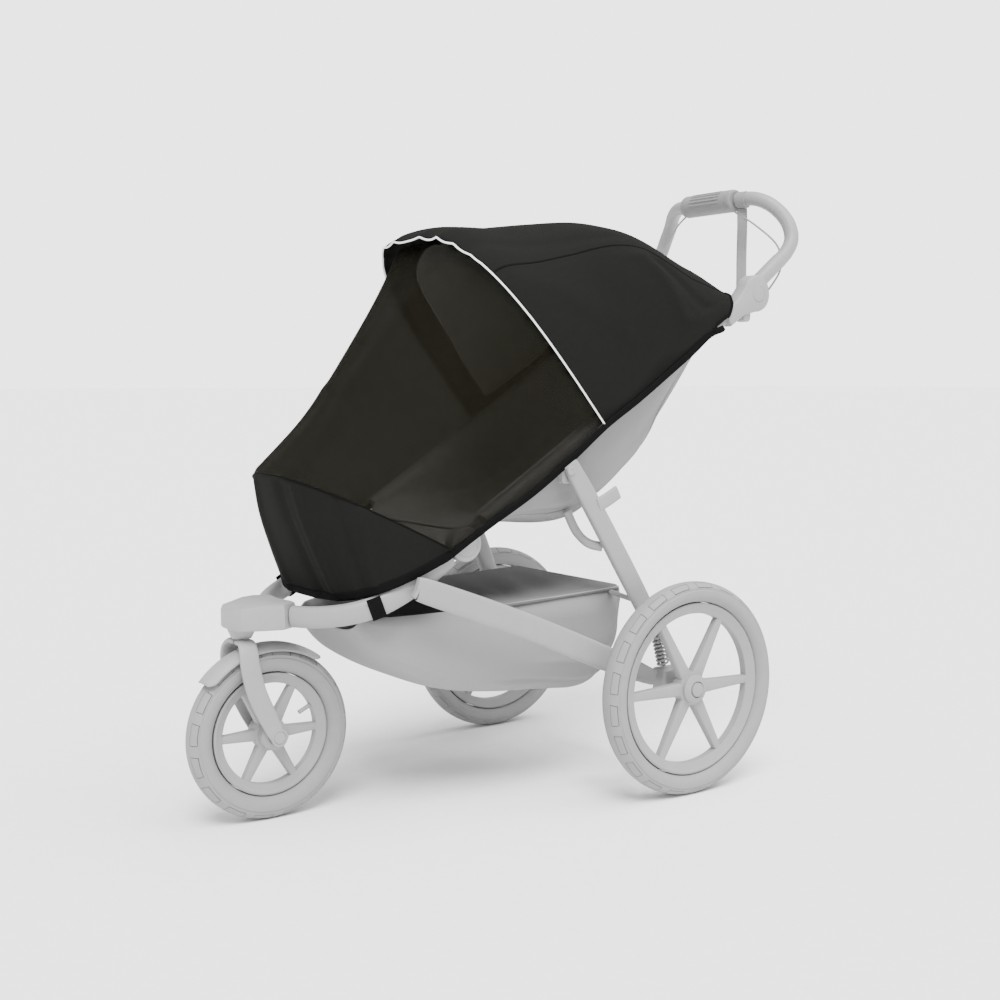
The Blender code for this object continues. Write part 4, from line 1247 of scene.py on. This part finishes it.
BASKET_RIBS = (
    Rib(-0.3600, 0.3600, -0.3850, 0.3350, 0.1100, 5.0, 1.0),
    Rib(-0.3100, 0.3610, -0.3250, 0.2680, 0.1400, 4.5, 1.0),
    Rib(-0.1800, 0.3650, -0.1900, 0.2060, 0.1650, 4.5, 1.0),
    Rib(0.0, 0.3710, 0.0, 0.1800, 0.1700, 4.5, 1.0),
    Rib(0.1400, 0.3760, 0.1500, 0.1860, 0.1700, 4.5, 1.0),
    Rib(0.1720, 0.3780, 0.1820, 0.3300, 0.1700, 5.0, 1.0),
)
SEAT_FOLDS = (
    Fold(0.16, 0.35, 0.24, 0.62, 0.030, -0.0090), Fold(0.20, 0.30, 0.30, 0.50, 0.020, 0.0050),
    Fold(0.84, 0.35, 0.76, 0.62, 0.030, -0.0040), Fold(0.20, 0.62, 0.24, 0.95, 0.022, -0.0080),
)
BASKET_FOLDS = (
    Fold(0.22, 0.55, 0.30, 0.80, 0.020, 0.0035), Fold(0.12, 0.62, 0.16, 0.90, 0.016, -0.0030),
    Fold(0.18, 0.30, 0.26, 0.52, 0.022, -0.0030), Fold(0.10, 0.80, 0.30, 0.92, 0.018, 0.0030),
    Fold(0.28, 0.30, 0.34, 0.70, 0.020, -0.0025), Fold(0.78, 0.55, 0.70, 0.80, 0.020, 0.0035),
)
LEG_REST_HALF = 0.176
LINER_INSET = 0.006
SEAT_MIDDLE = (0.0, 0.02, 0.80)
LID_HALF = 0.1730
LID_LIP = 0.0085
canopy_smooth = over_ribs(CANOPY_RIBS)


def canopy_place(across, along):
    """The canopy, its front edge drawn back in slow waves."""
    wave = 0.5 + 0.5 * sin(7 * pi * across + 0.6)
    return canopy_smooth(across, along * (1 - 0.035 * wave * along ** 3))


seat = folded(over_ribs(SEAT_RIBS), SEAT_FOLDS, 0.05)


def liner_place(across, along):
    """The seat's soft lining, a little inside the shell."""
    point = seat(across, along)
    return point + (Vector(SEAT_MIDDLE) - point).normalized() * LINER_INSET


def leg_rest_place(across, along):
    sag = 0.012 * sin(pi * across) * sin(pi * along)
    return Vector((LEG_REST_HALF * (1 - 2 * across), -0.1860 - 0.165 * along,
                   0.500 - 0.064 * along - sag))


def lid_place(across, along):
    """The basket's lid sags between its edges and has a few soft creases."""
    sag = 0.006 * sin(pi * across) * sin(pi * along)
    crease = 0.0022 * sin(26 * along + 9 * across) * sin(pi * across) * sin(pi * along)
    lip = eased((abs(1 - 2 * across) - 0.95) / 0.05)
    return Vector((LID_HALF * (1 - 2 * across), 0.170 - 0.350 * along,
                   0.3808 - 0.0125 * along - sag + crease - LID_LIP * lip))


# Canopy, seat liner and leg rest use the lining, which is painted lighter for the light inside the cover.
STROLLER_CLOTH = (
    ("seat_shell_cloth", seat, (70, 80), (0.72, 0.70), (0, 0, 0.72), 0.0028, SEAT_CLOTH,
     "seat_cloth", "seat", ("side_long_tube_left",)),
    ("seat_liner_cloth", liner_place, (60, 60), (0.70, 0.68), SEAT_MIDDLE, 0.0022, LINING_PAINTED_LIGHT,
     "seat_cloth", "seat", ("seat_shell_cloth",)),
    ("canopy_cloth", canopy_place, (90, 60), (0.84, 0.56), (0, 0.1, 0.8), 0.0014, LINING_PAINTED_LIGHT,
     "seat_cloth", "canopy_inner", ("side_long_tube_left",)),
    ("basket_shell_cloth", folded(over_ribs(BASKET_RIBS), BASKET_FOLDS, 0.05), (80, 80),
     (0.78, 0.78), (0, -0.05, 0.34), 0.0026, BASKET_CLOTH, "basket_cloth", "basket",
     ("chassis_oval_bar_left",)),
    ("leg_rest_cloth", leg_rest_place, (30, 24), (0.35, 0.19), (0, -0.3, 0.6), 0.0055, LINING_PAINTED_LIGHT,
     "seat_cloth", "leg_rest", ("seat_shell_cloth",)),
    ("basket_lid_cloth", lid_place, (50, 50), (0.345, 0.36), (0, 0, 0.5), 0.0020, LID_CLOTH_PAINTED_SHADE,
     "basket_cloth", "basket_lid", ("basket_shell_cloth",)),
)
for name, place, cells, size, inside, thick, finish, slot, node, rests in STROLLER_CLOTH:
    piece = cloth_grid(name, place, cells, size, inside, thick, finish)
    dress(piece, slot, node)
    cut_cloth(piece, size[0] * 1.06, size[1] * 1.06, rests)

# %% Seat seams
for side_name, shares in (("left", (0.16, 0.24, 0.22, 0.19)), ("right", (0.84, 0.76, 0.78, 0.81))):
    seam_line = []
    for i in range(81):
        share = spline([(value,) for value in shares], i / 80)[0]
        seam_line.append(seat(share, i / 80))
    dress(rolled_edge("seat_seam_" + side_name, seam_line, 0.0013, SEAT_CLOTH), "seat_cloth")

# %% [markdown]
# A few small parts hang on the frame and are easy to miss: the wrist strap on
# the handle, the brake cables, the bar under the seat and its buckle. They are
# drawn like the tubes, only thinner.

# %% Wrist strap, cables and bar
collar = drawn("strap_collar", [(0.0800, 0.5660, 1.1475, 0.0345, 0.0345),
                                (0.0900, 0.5690, 1.1478, 0.0350, 0.0350),
                                (0.1000, 0.5720, 1.1480, 0.0345, 0.0345)], WEBBING, reference=(0.3, -1, 0.9))
collar.data.materials[0] = GRIP
dress(collar, "grip")
STRAP_ROUTE = ((0.0870, 0.5700, 1.1310), (0.0880, 0.5705, 1.1000), (0.0880, 0.5700, 1.0600),
               (0.0885, 0.5690, 1.0200), (0.0880, 0.5700, 0.9850), (0.0900, 0.5680, 0.9500))


def wrist_place(across, along):
    point = Vector(spline(STRAP_ROUTE, along))
    return point + Vector((0.707, 0.707, 0)) * (0.021 * (across - 0.5)) + Vector((
        0.004 * sin(9 * along), -0.004 * sin(9 * along), 0))


wrist = cloth_grid("wrist_strap", wrist_place, (6, 60), (0.021, 0.19), (0, 0.7, 1.0), 0.0016,
                   SEAT_CLOTH)
dress(wrist, "seat_cloth")
cut_cloth(wrist, 0.022, 0.20, ["strap_collar"])
CABLES = (
    ("left", ((0.0700, 0.5600, 1.1270), (0.1150, 0.5800, 1.0950), (0.1600, 0.6000, 1.0500),
              (0.1800, 0.5900, 1.0000), (0.1800, 0.5500, 0.9500))),
    ("right", ((-0.0700, 0.5560, 1.1260), (-0.1000, 0.5560, 1.1050), (-0.1350, 0.5540, 1.0600),
               (-0.1550, 0.5500, 1.0100), (-0.1600, 0.5300, 0.9600))),
)
for side_name, route in CABLES:
    line = [Vector(spline(route, i / 60)) for i in range(61)]
    dress(rolled_edge("brake_cable_" + side_name, line, 0.0020, PLASTIC), "plastic")
UNDER_BAR = ((0.1700, 0.0440, 0.5300), (0.1750, 0.0624, 0.4914), (0.2000, 0.0712, 0.4706),
             (0.2200, 0.0900, 0.4640))
BUCKLE = ((0.2320, 0.0680, 0.5440), (0.2320, 0.0880, 0.5520), (0.2320, 0.1160, 0.5660))
VALVE_TURN = radians(25)
for side, side_name in ((1, "left"), (-1, "right")):
    bar_rows = [(*place, 0.014, 0.018) for place in UNDER_BAR]
    dress(drawn("under_seat_bar_" + side_name, on_side(side, bar_rows), FRAME_TUBE, sides=16),
          "frame_tube")
    pin = turned("leg_pin_" + side_name, (side * 0.2290, 0.0090, 0.6100), (
        (0.0030, -0.0030), (0.0085, -0.0028), (0.0090, 0.0), (0.0080, 0.0014), (0.0035, 0.0015),
        (0.0030, 0.0006)), PLASTIC, sides=24)
    dress(pin, "plastic")
    rows = [(*place, 0.008, 0.026) for place in BUCKLE]
    dress(drawn("seat_buckle_" + side_name, on_side(side, rows), PLASTIC, 4.0), "plastic")
    screw = turned("axle_screw_" + side_name, (side * 0.0455, FRONT_AXLE_Y, 0.152), (
        (0.0150, -side * 0.0040), (0.0158, 0.0), (0.0150, side * 0.0018), (0.0118, side * 0.0020),
        (0.0112, side * 0.0008), (0.0100, side * 0.0026), (0.0040, side * 0.0030)), PLASTIC)
    dress(screw, "plastic")
valve = [(0.0, FRONT_AXLE_Y + reach * cos(VALVE_TURN), 0.152 + reach * sin(VALVE_TURN), 0.008, 0.008)
         for reach in (0.094, 0.080, 0.066)]
dress(drawn("tyre_valve", valve, PLASTIC), "plastic")
